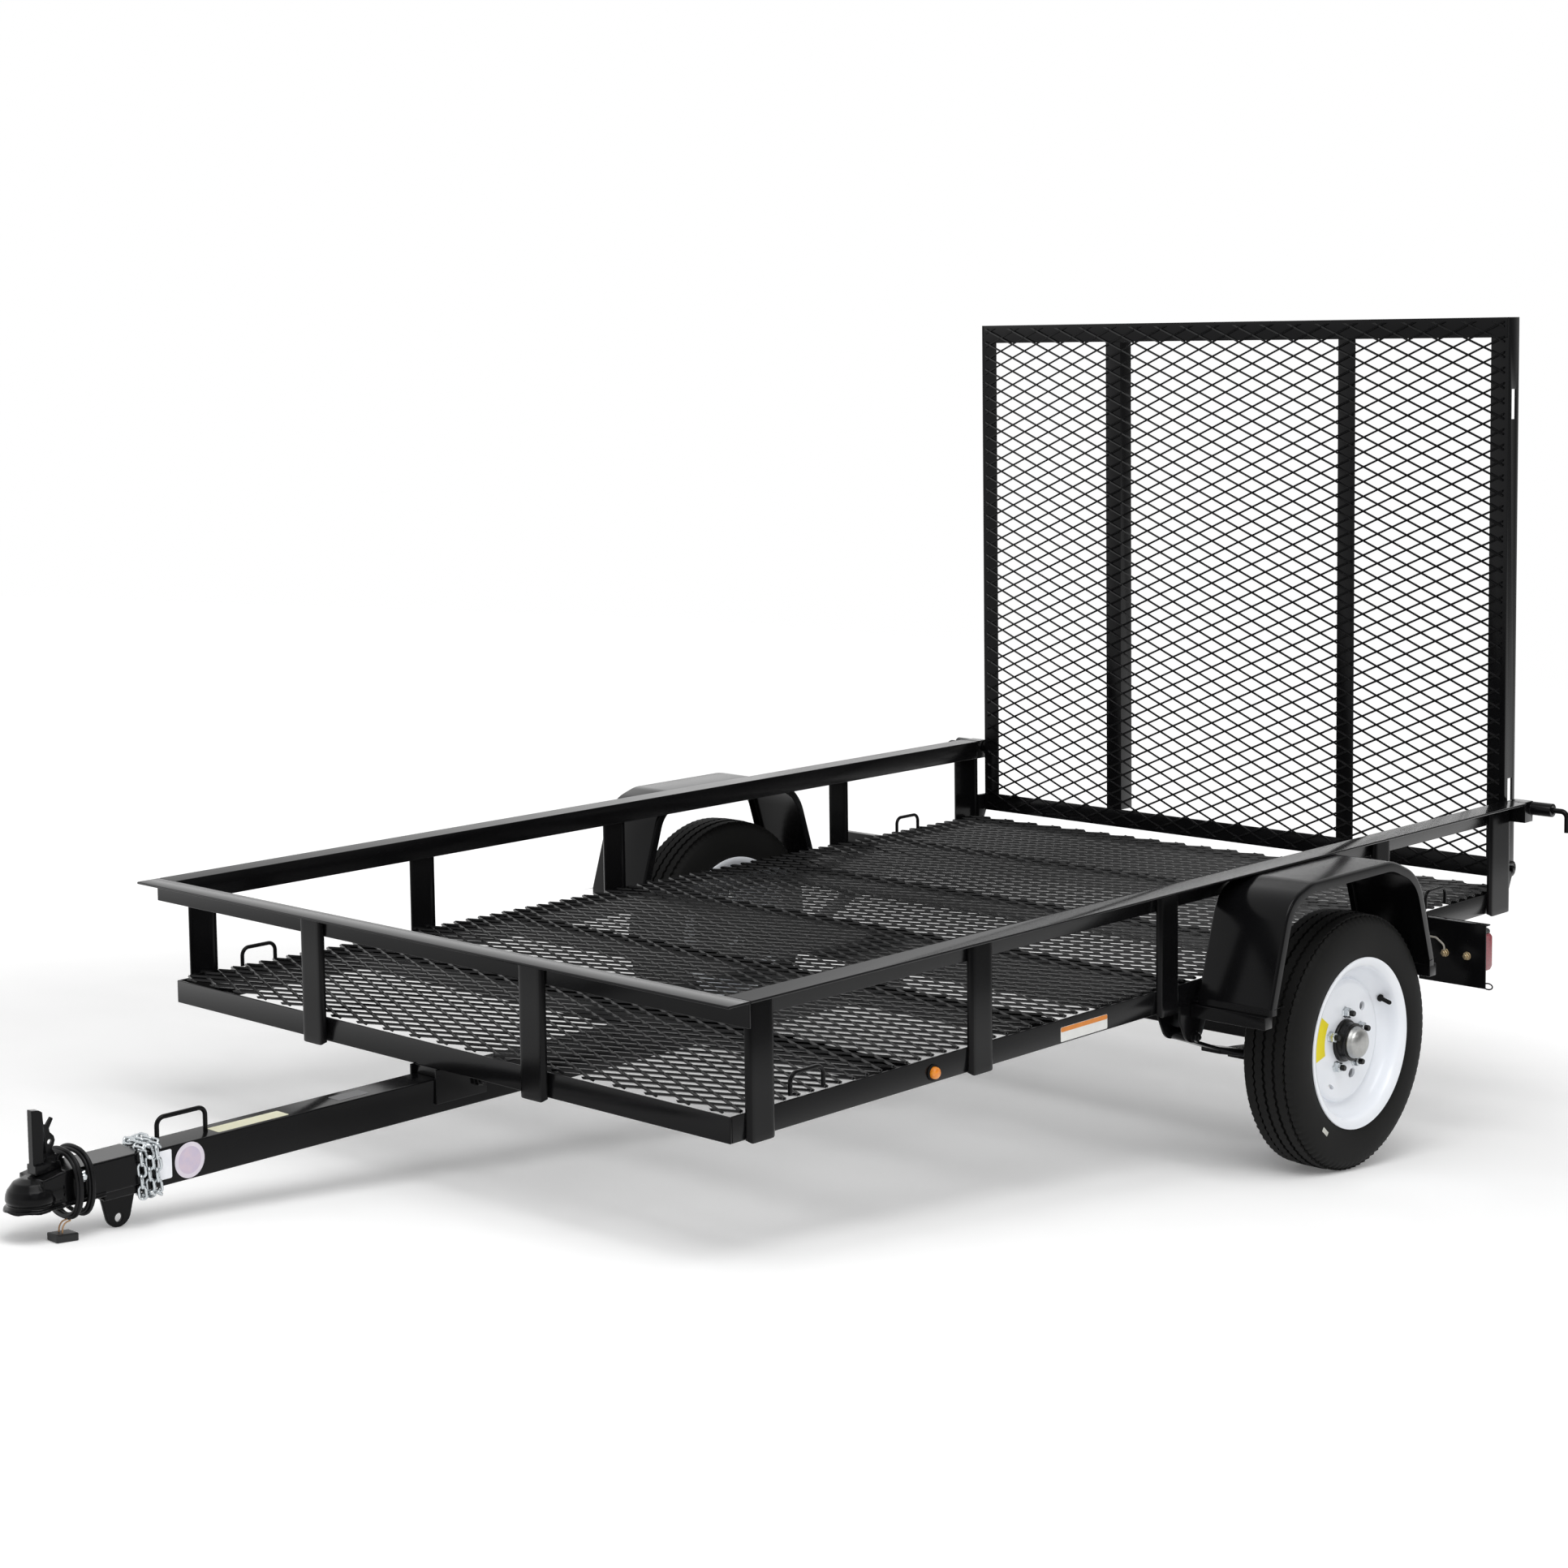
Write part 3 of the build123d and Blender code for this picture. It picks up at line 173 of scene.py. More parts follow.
floor = bpy.data.objects.new("floor", floor_mesh)
bpy.context.scene.collection.objects.link(floor)

# Lamps: a wide one overhead, a soft one at the front left, and two small ones that set the glints
# on rounded edges. Each is given by where it hangs and its width, in metres, and its watts.
lamps = {"overhead": ((1.9, -1.8, 4.4), 3.2, 130), "front_left": ((4.5, -3.0, 2.4), 2.5, 10),
         "sparkle_high": ((2.6, -4.2, 3.4), 0.2, 9), "sparkle_side": ((5.2, 0.6, 3.0), 0.2, 9)}
for name, (spot, size, watts) in lamps.items():
    lamp = bpy.data.lights.new(name, "AREA")
    lamp.size = size
    lamp.energy = watts
    lamp_object = bpy.data.objects.new(name, lamp)
    aim = (-Vector(spot)).to_track_quat("-Z", "Y").to_matrix().to_4x4()
    lamp_object.matrix_world = Matrix.Translation(spot) @ aim
    bpy.context.scene.collection.objects.link(lamp_object)


# Lighting lead: a 7 mm jacketed cable that comes out of the tongue's open end and is wound six
# times round the coupler's neck, then two tan wires to a flat plug that lies on the floor.
# Extruded PVC has a soft sheen that dulls in patches where it has been handled.
jacket, tree, shader, place, handled = finish("black_pvc_cable_jacket", "070708", "101012", 90.0, 3.0,
                                              Specular_IOR_Level=0.2)
sheen = add(tree, "ShaderNodeMapRange", {"Value": handled, "To Min": 0.3, "To Max": 0.5})
tree.links.new(sheen.outputs["Result"], shader.inputs["Roughness"])

neck_middle = 331.5
lead_route = [(0, -689, 310.75), (0, -706, 308.75), (0, -719, 300.75), (3, -724, 288)]
# Each turn: where it lies along the neck, and how far its cable stands off the neck's middle.
turns = [(-720.2, 50.3, 50.0), (-727.6, 50.8, 50.8), (-723.8, 55.4, 55.0),
         (-742.2, 50.6, 50.5), (-749.6, 51.2, 51.6), (-745.8, 55.2, 55.6)]
turn_steps, passing_from = 16, 11
for i, (turn_y, across, tall) in enumerate(turns):
    next_y = turns[min(i + 1, len(turns) - 1)][0]
    for step in range(turn_steps if i < len(turns) - 1 else turn_steps + 1):
        a = math.radians(-72 + 360 / turn_steps * step)
        # The cable bulges at the neck's corners, and passes on to its next turn underneath.
        c, s = math.cos(a), math.sin(a)
        swell = (abs(c) ** 2.6 + abs(s) ** 2.6) ** (-1 / 2.6)
        along = turn_y + (next_y - turn_y) * max(0, step - passing_from) / (turn_steps - passing_from)
        lead_route.append((across * swell * c, along, neck_middle + tall * swell * s))
line = bpy.data.curves.new("lighting_lead", "CURVE")
line.dimensions = "3D"
spline = line.splines.new("NURBS")
spline.points.add(len(lead_route) - 1)
for point, spot in zip(spline.points, lead_route):
    point.co = (*(set_down @ Vector(spot)), 1)
spline.order_u = 3
spline.use_endpoint_u = True
spline.resolution_u = 4
line.bevel_depth = 0.0035
line.bevel_resolution = 4
line.use_fill_caps = True
line.materials.append(jacket)
lead = bpy.data.objects.new("lighting_lead", line)
bpy.context.scene.collection.objects.link(lead)
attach(lead, "trailer")
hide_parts("harness_loom")

# The wires' thin PVC insulation is a little uneven in its tan.
tan_wire = finish("tan_wire_insulation", "8E6A4A", "B8926A", 200.0, Roughness=0.4, Specular_IOR_Level=0.4)[0]
wires = frame["nodes"]["harness_wires"]
wires.data.materials.clear()
wires.data.materials.append(tan_wire)

# The plug's mould texture has grains of about 1.5 mm, drawn coarser than real so that they show.
black_plastic, tree, shader, place, grain = finish("moulded_black_plastic", "0E0F10", "1C1D1E", 700.0,
                                                   Roughness=0.38, Specular_IOR_Level=0.4)
bump = add(tree, "ShaderNodeBump", {"Height": grain, "Strength": 0.2, "Distance": 0.0002})
tree.links.new(bump.outputs["Normal"], shader.inputs["Normal"])


def evaluated(mesh, *modifiers):
    """The mesh that a list of (kind, settings) modifiers turns this one into."""
    holder = bpy.data.objects.new("holder", mesh)
    bpy.context.scene.collection.objects.link(holder)
    for kind, settings in modifiers:
        modifier = holder.modifiers.new(kind.lower(), kind)
        for key, value in settings.items():
            setattr(modifier, key, value)
    result = bpy.data.meshes.new_from_object(holder.evaluated_get(bpy.context.evaluated_depsgraph_get()))
    bpy.data.objects.remove(holder)
    return result


def merged_copy(node):
    """A copy of a CAD piece, its loose triangles merged to whole faces."""
    mesh = frame["nodes"][node].data.copy()
    form = bmesh.new()
    form.from_mesh(mesh)
    bmesh.ops.remove_doubles(form, verts=form.verts, dist=2e-5)
    bmesh.ops.dissolve_limit(form, angle_limit=math.radians(0.6), verts=form.verts, edges=form.edges)
    form.to_mesh(mesh)
    form.free()
    return mesh


def pressed_soft(node, grid, rounds):
    """A CAD piece with its edges and inner corners run into each other, as pressing or moulding does."""
    return evaluated(merged_copy(node), ("REMESH", {"mode": "VOXEL", "voxel_size": grid / 1000}),
                     ("SMOOTH", {"factor": 0.5, "iterations": rounds}))


def settle(mesh, name, material, body="trailer", replaced=(), smooth=35,
           level_mm=True):
    """Makes a finished mesh a piece of the trailer: set down, given its material, shaded and put on its body."""
    if level_mm:
        mesh.transform(set_down)
    mesh.materials.clear()
    mesh.materials.append(material)
    if smooth:
        mesh.shade_smooth()
        mesh.set_sharp_from_angle(angle=math.radians(smooth))
    piece = bpy.data.objects.new(name, mesh)
    bpy.context.scene.collection.objects.link(piece)
    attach(piece, body)
    if replaced:
        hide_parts(*replaced)
    return piece


plug = settle(pressed_soft("harness_plug", 0.9, 16), "flat_plug", black_plastic,
              replaced=["harness_plug"], smooth=60, level_mm=False)


# Welded frame: bed and top rails, crossmembers, tongue, brackets and axle are mild steel sections,
# cut and welded, then powder coated gloss black, which rounds their edges. Powder coat flows to a
# fine orange peel, some 3 mm from crest to crest, and varies in depth.
steel_black, tree, shader, place, cloud = finish("gloss_black_powder_coat", "070708", "101011", 9.0, 4.0,
                                                 Specular_Tint=srgb("808080"))
peel = add(tree, "ShaderNodeTexNoise", {"Vector": place, "Scale": 330.0, "Detail": 2.0})
sheen = add(tree, "ShaderNodeMapRange", {"Value": cloud, "To Min": 0.13, "To Max": 0.24})
bump = add(tree, "ShaderNodeBump", {"Height": peel.outputs["Fac"], "Strength": 0.07, "Distance": 0.0003})
tree.links.new(sheen.outputs["Result"], shader.inputs["Roughness"])
tree.links.new(bump.outputs["Normal"], shader.inputs["Normal"])


def edges_broken(node, width, segments=2):
    """A CAD piece with its edges rounded and its flat faces kept flat in the light."""
    mesh = merged_copy(node)
    mesh.shade_smooth()
    return evaluated(mesh, ("BEVEL", {"width": width / 1000, "segments": segments, "limit_method": "ANGLE",
                                      "angle_limit": math.radians(28), "harden_normals": True}))


# Each piece with its edges' radius: tubes are drawn with round corners, the rest only cut.
steel_edges = {"frame_side_left": 1.6, "frame_side_right": 1.6, "frame_front": 1.6, "frame_rear": 1.6,
               "crossmembers": 1.4, "top_rail_left": 1.6, "top_rail_right": 1.6, "top_rail_front": 1.6,
               "tongue": 5.0, "tongue_saddles": 1.0, "tongue_cheeks": 1.2, "axle_beam": 5.0,
               "axle_clamps": 1.2, "leaf_springs": 1.2, "fender_braces": 1.8, "gate_top_bar": 1.4,
               "gate_bottom_bar": 1.4, "gate_uprights": 1.4, "gate_lugs": 1.4, "latch_housings": 1.4,
               "lamp_plates": 0.9}
for node, width in steel_edges.items():
    settle(edges_broken(node, width, 3 if width > 3 else 2), node + "_coated", steel_black,
           frame["nodes"][node]["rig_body"], replaced=[node], smooth=None, level_mm=False)


# Posts: shallow channels pressed from 3.2 mm sheet, their long edges bent round and their lower
# corners cut round, welded to the bed frame and to the underside of the top rail.
def skinned(rings, closed=False, wrapped=True, merge=0.0):
    """A form over rings of points, its faces turned outwards. It is capped at both ends, unless its last
    ring joins its first; rings that aren't wrapped are open lines, and make an open sheet."""
    count, around = len(rings), len(rings[0])
    faces = []
    if wrapped and not closed:
        faces = [tuple(range(around)), tuple(range((count - 1) * around, count * around))]
    for i in range(count if closed else count - 1):
        n = (i + 1) % count * around
        for j in range(around if wrapped else around - 1):
            k = (j + 1) % around
            faces.append((i * around + j, n + j, n + k, i * around + k))
    mesh = bpy.data.meshes.new("skinned")
    mesh.from_pydata([point for ring in rings for point in ring], [], faces)
    form = bmesh.new()
    form.from_mesh(mesh)
    if merge:
        bmesh.ops.remove_doubles(form, verts=form.verts, dist=merge)
    bmesh.ops.recalc_face_normals(form, faces=form.faces)
    form.to_mesh(mesh)
    form.free()
    return mesh


def pressed_post(middle, width, facing_out):
    """One post; facing_out turns (along the rail, out from it, up) into a point."""
    wall, depth, bend, corner, bottom, top = 3.2, 10.0, 7.0, 11.0, 367.0, 610.2
    half = width / 2 - wall / 2
    out = depth - wall / 2
    section = [(-half, 0.4), (-half, out - bend)]
    section += [(-half + bend * (1 - math.cos(a)), out - bend * (1 - math.sin(a)))
                for a in (math.radians(15 * i) for i in range(1, 7))]
    section += [(-half + bend + 6, out)]
    section += [(-a, b) for a, b in section[::-1]]
    columns = []
    for along, away in section:
        past = abs(along) - (half + wall / 2 - corner)
        cut = corner - math.sqrt(max(corner ** 2 - past ** 2, 0)) if past > 0 else 0
        columns.append([facing_out(middle + along, away, z) for z in (bottom + cut, bottom + corner + 2, top)])
    return evaluated(skinned(columns, wrapped=False),
                     ("SOLIDIFY", {"thickness": wall, "offset": 0.0, "use_even_offset": True}),
                     ("BEVEL", {"width": 0.7, "segments": 2, "limit_method": "ANGLE",
                                "angle_limit": math.radians(50)}))


def joined(meshes, name):
    """Several meshes as one."""
    form = bmesh.new()
    for mesh in meshes:
        form.from_mesh(mesh)
    whole = bpy.data.meshes.new(name)
    form.to_mesh(whole)
    form.free()
    return whole


side_face, front_face, post_width = 762.0, -4.8, 64.0
side_posts = [(66.0, post_width), (624.0, post_width), (1182.0, post_width), (1937.0, post_width),
              (2426.0, 88.0)]
for side, sign in (("left", 1), ("right", -1)):
    posts = [pressed_post(y, width, lambda along, out, z: (sign * (side_face + out), along, z))
             for y, width in side_posts]
    settle(joined(posts, "posts"), f"pressed_posts_{side}", steel_black, replaced=[f"side_posts_{side}"],
           smooth=30)
posts = [pressed_post(x, post_width, lambda along, out, z: (along, front_face - out, z))
         for x in (-310.0, 300.0)]
settle(joined(posts, "posts"), "pressed_posts_front", steel_black, replaced=["front_posts"], smooth=30)


# Deck and gate mesh: one sheet each of raised expanded metal, slit and stretched from steel plate
# so that every strand leans, welded to its frame and powder coated with it. The coat gathers and
# thins over the slit edges, about every 2 mm.
mesh_black, tree, shader, place, _ = finish("black_coated_expanded_metal", "080809", "121213", 14.0, 3.0,
                                            Roughness=0.25, Specular_Tint=srgb("B8B8B8"))
grit = add(tree, "ShaderNodeTexNoise", {"Vector": place, "Scale": 420.0, "Detail": 2.0})
bump = add(tree, "ShaderNodeBump", {"Height": grit.outputs["Fac"], "Strength": 0.3, "Distance": 0.0004})
tree.links.new(bump.outputs["Normal"], shader.inputs["Normal"])

long_pitch, short_pitch = 76.2, 33.9


def strand_cross(width, thick, lean_angle):
    """Two leaning strands that cross at one bond, each from one opening's side to the next."""
    strands = []
    for rise in (1, -1):
        along = Vector((long_pitch / 2, rise * short_pitch / 2, 0))
        across = Vector((-rise * along.y, rise * along.x, 0)).normalized() * rise
        across = across if across.y > 0 else -across
        wide = across * math.cos(lean_angle) + Vector((0, 0, 1)) * math.sin(lean_angle)
        deep = Vector((0, 0, 1)) * math.cos(lean_angle) - across * math.sin(lean_angle)
        strands.append(skinned([[along * end + wide * (s * width / 2) + deep * (t * thick / 2)
                                 for s, t in ((-1, -1), (1, -1), (1, 1), (-1, 1))] for end in (-0.5, 0.5)]))
    return joined(strands, "strand_cross")


def new_tree(name, **inputs):
    """A Geometry Nodes tree that is given a geometry and these inputs, by name and kind."""
    tree = bpy.data.node_groups.new(name, "GeometryNodeTree")
    tree.interface.new_socket("Geometry", in_out="INPUT", socket_type="NodeSocketGeometry")
    for label, kind in inputs.items():
        tree.interface.new_socket(label, in_out="INPUT", socket_type="NodeSocket" + kind)
    tree.interface.new_socket("Geometry", in_out="OUTPUT", socket_type="NodeSocketGeometry")
    return tree, add(tree, "NodeGroupInput").outputs


def made_by(tree, copies, material, start, **values):
    """The mesh that a tree makes of a start mesh: its copies made real and given their material."""
    real = add(tree, "GeometryNodeRealizeInstances", {"Geometry": copies.outputs[0]})
    done = add(tree, "GeometryNodeSetMaterial", {"Geometry": real.outputs[0], "Material": material})
    add(tree, "NodeGroupOutput", {"Geometry": done.outputs[0]})
    holder = bpy.data.objects.new(tree.name, start)
    bpy.context.scene.collection.objects.link(holder)
    modifier = holder.modifiers.new(tree.name, "NODES")
    modifier.node_group = tree
    for item in tree.interface.items_tree:
        if item.name in values:
            modifier[item.identifier] = values[item.name]
    result = bpy.data.meshes.new_from_object(holder.evaluated_get(bpy.context.evaluated_depsgraph_get()))
    bpy.data.objects.remove(holder)
    return result


def expanded_sheet(name, cross, width, height):
    """A sheet of strands made by Geometry Nodes: crosses on two grids, one set in by half a pitch."""
    tree, given = new_tree(name, Long_pitch="Float", Short_pitch="Float", Columns="Int", Rows="Int")
    sizes = []
    for count, pitch in (("Columns", "Long_pitch"), ("Rows", "Short_pitch")):
        span = add(tree, "ShaderNodeMath", {0: given[count], 1: given[pitch]}, operation="MULTIPLY")
        more = add(tree, "ShaderNodeMath", {0: given[count], 1: 1.0}, operation="ADD")
        half = add(tree, "ShaderNodeMath", {0: given[pitch], 1: 0.5}, operation="MULTIPLY")
        sizes.append([node.outputs[0] for node in (span, more, half)])
    (span_x, count_x, half_x), (span_y, count_y, half_y) = sizes
    inset = add(tree, "ShaderNodeCombineXYZ", {"X": half_x, "Y": half_y}).outputs[0]
    grid = add(tree, "GeometryNodeMeshGrid", {"Size X": span_x, "Size Y": span_y, "Vertices X": count_x,
                                              "Vertices Y": count_y})
    second = add(tree, "GeometryNodeTransform", {"Geometry": grid.outputs["Mesh"], "Translation": inset})
    both = add(tree, "GeometryNodeJoinGeometry")
    tree.links.new(grid.outputs["Mesh"], both.inputs[0])
    tree.links.new(second.outputs[0], both.inputs[0])
    spread = add(tree, "GeometryNodeInstanceOnPoints",
                 {"Points": both.outputs[0], "Instance": given["Geometry"]})
    sheet = made_by(tree, spread, mesh_black, cross, Long_pitch=long_pitch, Short_pitch=short_pitch,
                    Columns=math.ceil(width / long_pitch) + 1, Rows=math.ceil(height / short_pitch) + 1)
    form = bmesh.new()
    form.from_mesh(sheet)
    for x, y in ((1, 0), (-1, 0), (0, 1), (0, -1)):
        bmesh.ops.bisect_plane(form, geom=form.verts[:] + form.edges[:] + form.faces[:], dist=1e-4,
                               plane_co=Vector((x * width / 2, y * height / 2, 0)),
                               plane_no=Vector((x, y, 0)), clear_outer=True)
    bmesh.ops.holes_fill(form, edges=[e for e in form.edges if e.is_boundary], sides=8)
    form.to_mesh(sheet)
    form.free()
    return sheet


bed_length, frame_top = 2464.0, 417.5
deck_sheet = expanded_sheet("deck_sheet", strand_cross(6.6, 4.2, math.radians(-28)), 1516, 2448)
deck_sheet.transform(Matrix.Translation((0, bed_length / 2, frame_top + 3.4)))
settle(deck_sheet, "deck_expanded_metal", mesh_black, "trailer", ["deck_mesh"], smooth=20)
gate_sheet = expanded_sheet("gate_sheet", strand_cross(4.2, 2.6, math.radians(24)), 1472, 1233)
gate_sheet.transform(Matrix.Translation((0, 2480.4, 1060.5)) @ Matrix.Rotation(math.radians(90), 4, "X"))
settle(gate_sheet, "gate_expanded_metal", mesh_black, "gate", ["gate_mesh"], smooth=20)


# Fixings: hex bolts and nuts with their washers hold the cheeks, the coupler, the springs and the
# lamps. Zinc plate is a pale blue-grey, its brightness mottled in patches of about 5 mm.
zinc, tree, shader, place, mottle = finish("bright_zinc_plate", "A6ADB1", "E6EAEC", 180.0, 4.0, Metallic=1.0)
sheen = add(tree, "ShaderNodeMapRange", {"Value": mottle, "To Min": 0.18, "To Max": 0.38})
tree.links.new(sheen.outputs["Result"], shader.inputs["Roughness"])


def turned_piece(profile, segments):
    """A form spun about x from (radius, place along x) corners, its last corner joined to its first."""
    return skinned([[(x, r * math.cos(a), r * math.sin(a)) for r, x in profile]
                    for a in (2 * math.pi * i / segments for i in range(segments))], closed=True, merge=0.01)


def hex_nut(across, stud):
    """A washer, a hexagon and a stud's rounded end, standing on x = 0 and facing +x."""
    r = across / 2 / math.cos(math.radians(30))
    washer = turned_piece([(0, 0), (across * 0.62, 0), (across * 0.62, 1.4), (across * 0.58, 1.8),
                           (0, 1.8)], 20)
    nut = turned_piece([(0, 1.8), (r, 1.8), (r, across * 0.48), (across * 0.5, across * 0.55),
                        (0, across * 0.55)], 6)
    end = turned_piece([(0, 1), (stud / 2, 1), (stud / 2, across * 0.72), (stud * 0.38, across * 0.8),
                        (0, across * 0.8)], 10)
    return joined([washer, nut, end], "hex_nut")


def spread_out(name, item, places, material):
    """Copies of one small mesh put at many places by Geometry Nodes; a place is a 4x4 matrix."""
    tree, given = new_tree(name, Item="Object", Size="Float")
    shape = add(tree, "GeometryNodeObjectInfo", {"Object": given["Item"]})
    turn = add(tree, "GeometryNodeInputNamedAttribute", {"Name": "turn"}, data_type="FLOAT_VECTOR")
    angles = add(tree, "FunctionNodeEulerToRotation", {"Euler": turn.outputs["Attribute"]})
    copies = add(tree, "GeometryNodeInstanceOnPoints",
                 {"Points": given["Geometry"], "Instance": shape.outputs["Geometry"],
                  "Rotation": angles.outputs["Rotation"], "Scale": given["Size"]})
    points = bpy.data.meshes.new(name)
    points.from_pydata([place.translation for place in places], [], [])
    kept_turns = points.attributes.new("turn", "FLOAT_VECTOR", "POINT")
    for value, place in zip(kept_turns.data, places):
        value.vector = place.to_euler("XYZ")
    sample = bpy.data.objects.new(name + "_item", item)
    bpy.context.scene.collection.objects.link(sample)
    result = made_by(tree, copies, material, points, Item=sample, Size=1.0)
    bpy.data.objects.remove(sample)
    return result


def facing(spot, direction, roll_angle=0.0):
    """A place whose x axis points along a direction."""
    turn = Vector(direction).to_track_quat("X", "Z").to_matrix().to_4x4()
    return Matrix.Translation(spot) @ turn @ Matrix.Rotation(roll_angle, 4, "X")


cheek_face, neck_face = 36.75, 35.75
cheek_bolts = [facing((s * cheek_face, 90, 338), (s, 0, 0), 27.0) for s in (1, -1)]
settle(spread_out("cheek_bolts", hex_nut(19, 12), cheek_bolts, steel_black), "cheek_bolts", steel_black,
       smooth=30)
neck_bolts = [facing((s * neck_face, -734.8, 347), (s, 0, 0), 0.2) for s in (1, -1)]
settle(spread_out("neck_bolts", hex_nut(17, 11), neck_bolts, zinc), "coupler_bolt", zinc,
       smooth=30)


# Coupler and latch lever: pressed and welded from thick plate, so every bend is well rounded, with
# a wavy lip round the ball socket. The lever stands raised. Both are coated gloss black.
ball_y = -802
to_level = set_down.inverted()
coupler = pressed_soft("coupler", 1.5, 5)
for vertex in coupler.vertices:
    spot = to_level @ vertex.co
    low = max(0.0, min(1.0, (312 - spot.z) / 8))
    ahead = Vector((spot.x, spot.y - ball_y, 0))
    if ahead.length > 36 and spot.y < -766:
        # The ball's housing draws in above its lip, and the trimmed lip waves by about 1 mm.
        drawn_in = (1 - 0.07 * math.exp(-((spot.z - 312) / 5) ** 2)
                    + 0.03 * math.exp(-((spot.z - 329) / 7) ** 2))
        spot.x, spot.y = spot.x * drawn_in, ball_y + ahead.y * drawn_in
        spot.z += 0.9 * low * math.sin(7 * math.atan2(ahead.y, ahead.x))
        vertex.co = set_down @ spot
settle(coupler, "coupler_pressed", steel_black, replaced=["coupler"], smooth=60, level_mm=False)
lever = pressed_soft("coupler_lever", 0.9, 5)
handle_bottom = 372
for vertex in lever.vertices:
    spot = to_level @ vertex.co
    # The handle is narrower than its foot, and the trigger behind it is one thin plate.
    behind = max(0.0, min(1.0, (spot.y - ball_y - 20) / 6)) * max(0.0, min(1.0, (spot.z - handle_bottom) / 10))
    spot.x *= (0.52 if spot.z > handle_bottom else 1.0) * (1 - 0.6 * behind)
    vertex.co = set_down @ spot
settle(lever, "lever_pressed", steel_black, replaced=["coupler_lever"], smooth=60, level_mm=False)
settle(pressed_soft("chain_plate", 0.9, 3), "chain_plate_cut", steel_black, replaced=["chain_plate"],
       smooth=60, level_mm=False)


# Safety chains: welded links of 5 mm zinc-plated wire, wound three times round the tongue behind
# the coupler, every link turned a quarter to the one before it.
def chain_link(length, width, wire):
    """One welded link lying along x, a round wire bent to a long ring."""
    half, r = (length - width) / 2, (width - wire) / 2
    path = [(half + r * math.cos(a), r * math.sin(a)) for a in (math.radians(-90 + 30 * i) for i in range(7))]
    path += [(-x, -y) for x, y in path]
    rings = []
    for i, (x, y) in enumerate(path):
        ahead, behind = path[(i + 1) % len(path)], path[i - 1]
        way = Vector((ahead[0] - behind[0], ahead[1] - behind[1], 0)).normalized()
        out = Vector((way.y, -way.x, 0))
        rings.append([Vector((x, y, 0)) + out * (wire / 2 * math.cos(a))
                      + Vector((0, 0, wire / 2 * math.sin(a)))
                      for a in (2 * math.pi * j / 8 for j in range(8))])
    return skinned(rings, closed=True)


tongue_half, tongue_top, tongue_middle = 31.75, 356.5, 324.75
side_half, corner, link_pitch = tongue_half + 7.0, 8.0, 17.5
run = 2 * (side_half - corner)
arc = math.pi / 2 * corner
links = []
for turn_y, slant, first in ((-603, 20, 0.0), (-590, 18, 0.5), (-576, 17, 0.25)):
    count = round(4 * (run + arc) / link_pitch / 2) * 2
    for i in range(count):
        along = ((i + first) / count * 4 * (run + arc)) % (4 * (run + arc))
        face, t = divmod(along, run + arc)
        if t < run:
            x, z, a = side_half, t - run / 2, 0.0
        else:
            a = (t - run) / corner
            x, z = side_half - corner + corner * math.cos(a), run / 2 + corner * math.sin(a)
        quarter = Matrix.Rotation(-math.pi / 2 * face, 4, "Y")
        spot = quarter @ Vector((x, 0, z))
        # The turns lean forward on the near side and cross under the tongue behind the plate.
        spot.y = turn_y - slant * max(0.0, spot.x / side_half)
        way = quarter @ Vector((-math.sin(a), -0.1, math.cos(a)))
        turn = way.to_track_quat("X", "Y").to_matrix().to_4x4()
        twist = Matrix.Rotation(math.radians(48 if i % 2 else -40), 4, "X")
        links.append(Matrix.Translation(spot + Vector((0, 0, tongue_middle))) @ turn @ twist)
settle(spread_out("chain_links", chain_link(27, 16.5, 5.0), links, zinc), "chain_links", zinc,
       replaced=["safety_chains"], smooth=50)


# Labels: thin vinyl squares and a round sticker on the tongue and the left side rail, left blank.
# Each has a flat tone that has faded a little in patches.
def label(name, colour, faded_colour, corners, facing_axis, thick=0.35):
    """A blank vinyl label, its corners given on a flat face."""
    vinyl = finish(name + "_vinyl", colour, faded_colour, 60.0, Roughness=0.3, Specular_IOR_Level=0.4)[0]
    step = Vector(facing_axis) * thick
    sheet = skinned([[Vector(c) for c in corners], [Vector(c) + step for c in corners]])
    settle(sheet, name, vinyl, smooth=30)


def rectangle(a0, a1, b0, b1, place, cut=2.0):
    """A rectangle with cut corners, turned into points by place."""
    return [place(*p) for p in ((a0 + cut, b0), (a1 - cut, b0), (a1, b0 + cut), (a1, b1 - cut), (a1 - cut, b1),
                                (a0 + cut, b1), (a0, b1 - cut), (a0, b0 + cut))]


def round_patch(x, half_y, half_z):
    """The corners of a round patch on the tongue's left face."""
    return [(x, -526 + half_y * math.cos(a), 325.5 + half_z * math.sin(a))
            for a in (math.radians(7.5 * i) for i in range(48))]


def on_tongue_top(a, b):
    """A point on the tongue's upper face."""
    return a, b, tongue_top


label("tongue_side_label", "F4F5F8", "E6E8EE",
      rectangle(-588, -561, 304, 352, lambda a, b: (tongue_half, a, b)), (1, 0, 0))
label("round_sticker", "E6DEE4", "C9C3D2", round_patch(tongue_half, 29, 30), (1, 0, 0))
label("round_sticker_middle", "B9B4CE", "D8C4CC", round_patch(31.95, 22, 23), (1, 0, 0))
label("tongue_top_label", "E9E7CC", "D6D4B4", rectangle(-10, 24, -462, -318, on_tongue_top), (0, 0, 1))
label("tongue_grey_label", "6E6E70", "58585A", rectangle(-14, 18, -208, -142, on_tongue_top), (0, 0, 1))
label("rail_label", "ECECEA", "DCDCD8",
      rectangle(858, 998, 376, 403, lambda a, b: (side_face, a, b)), (1, 0, 0))
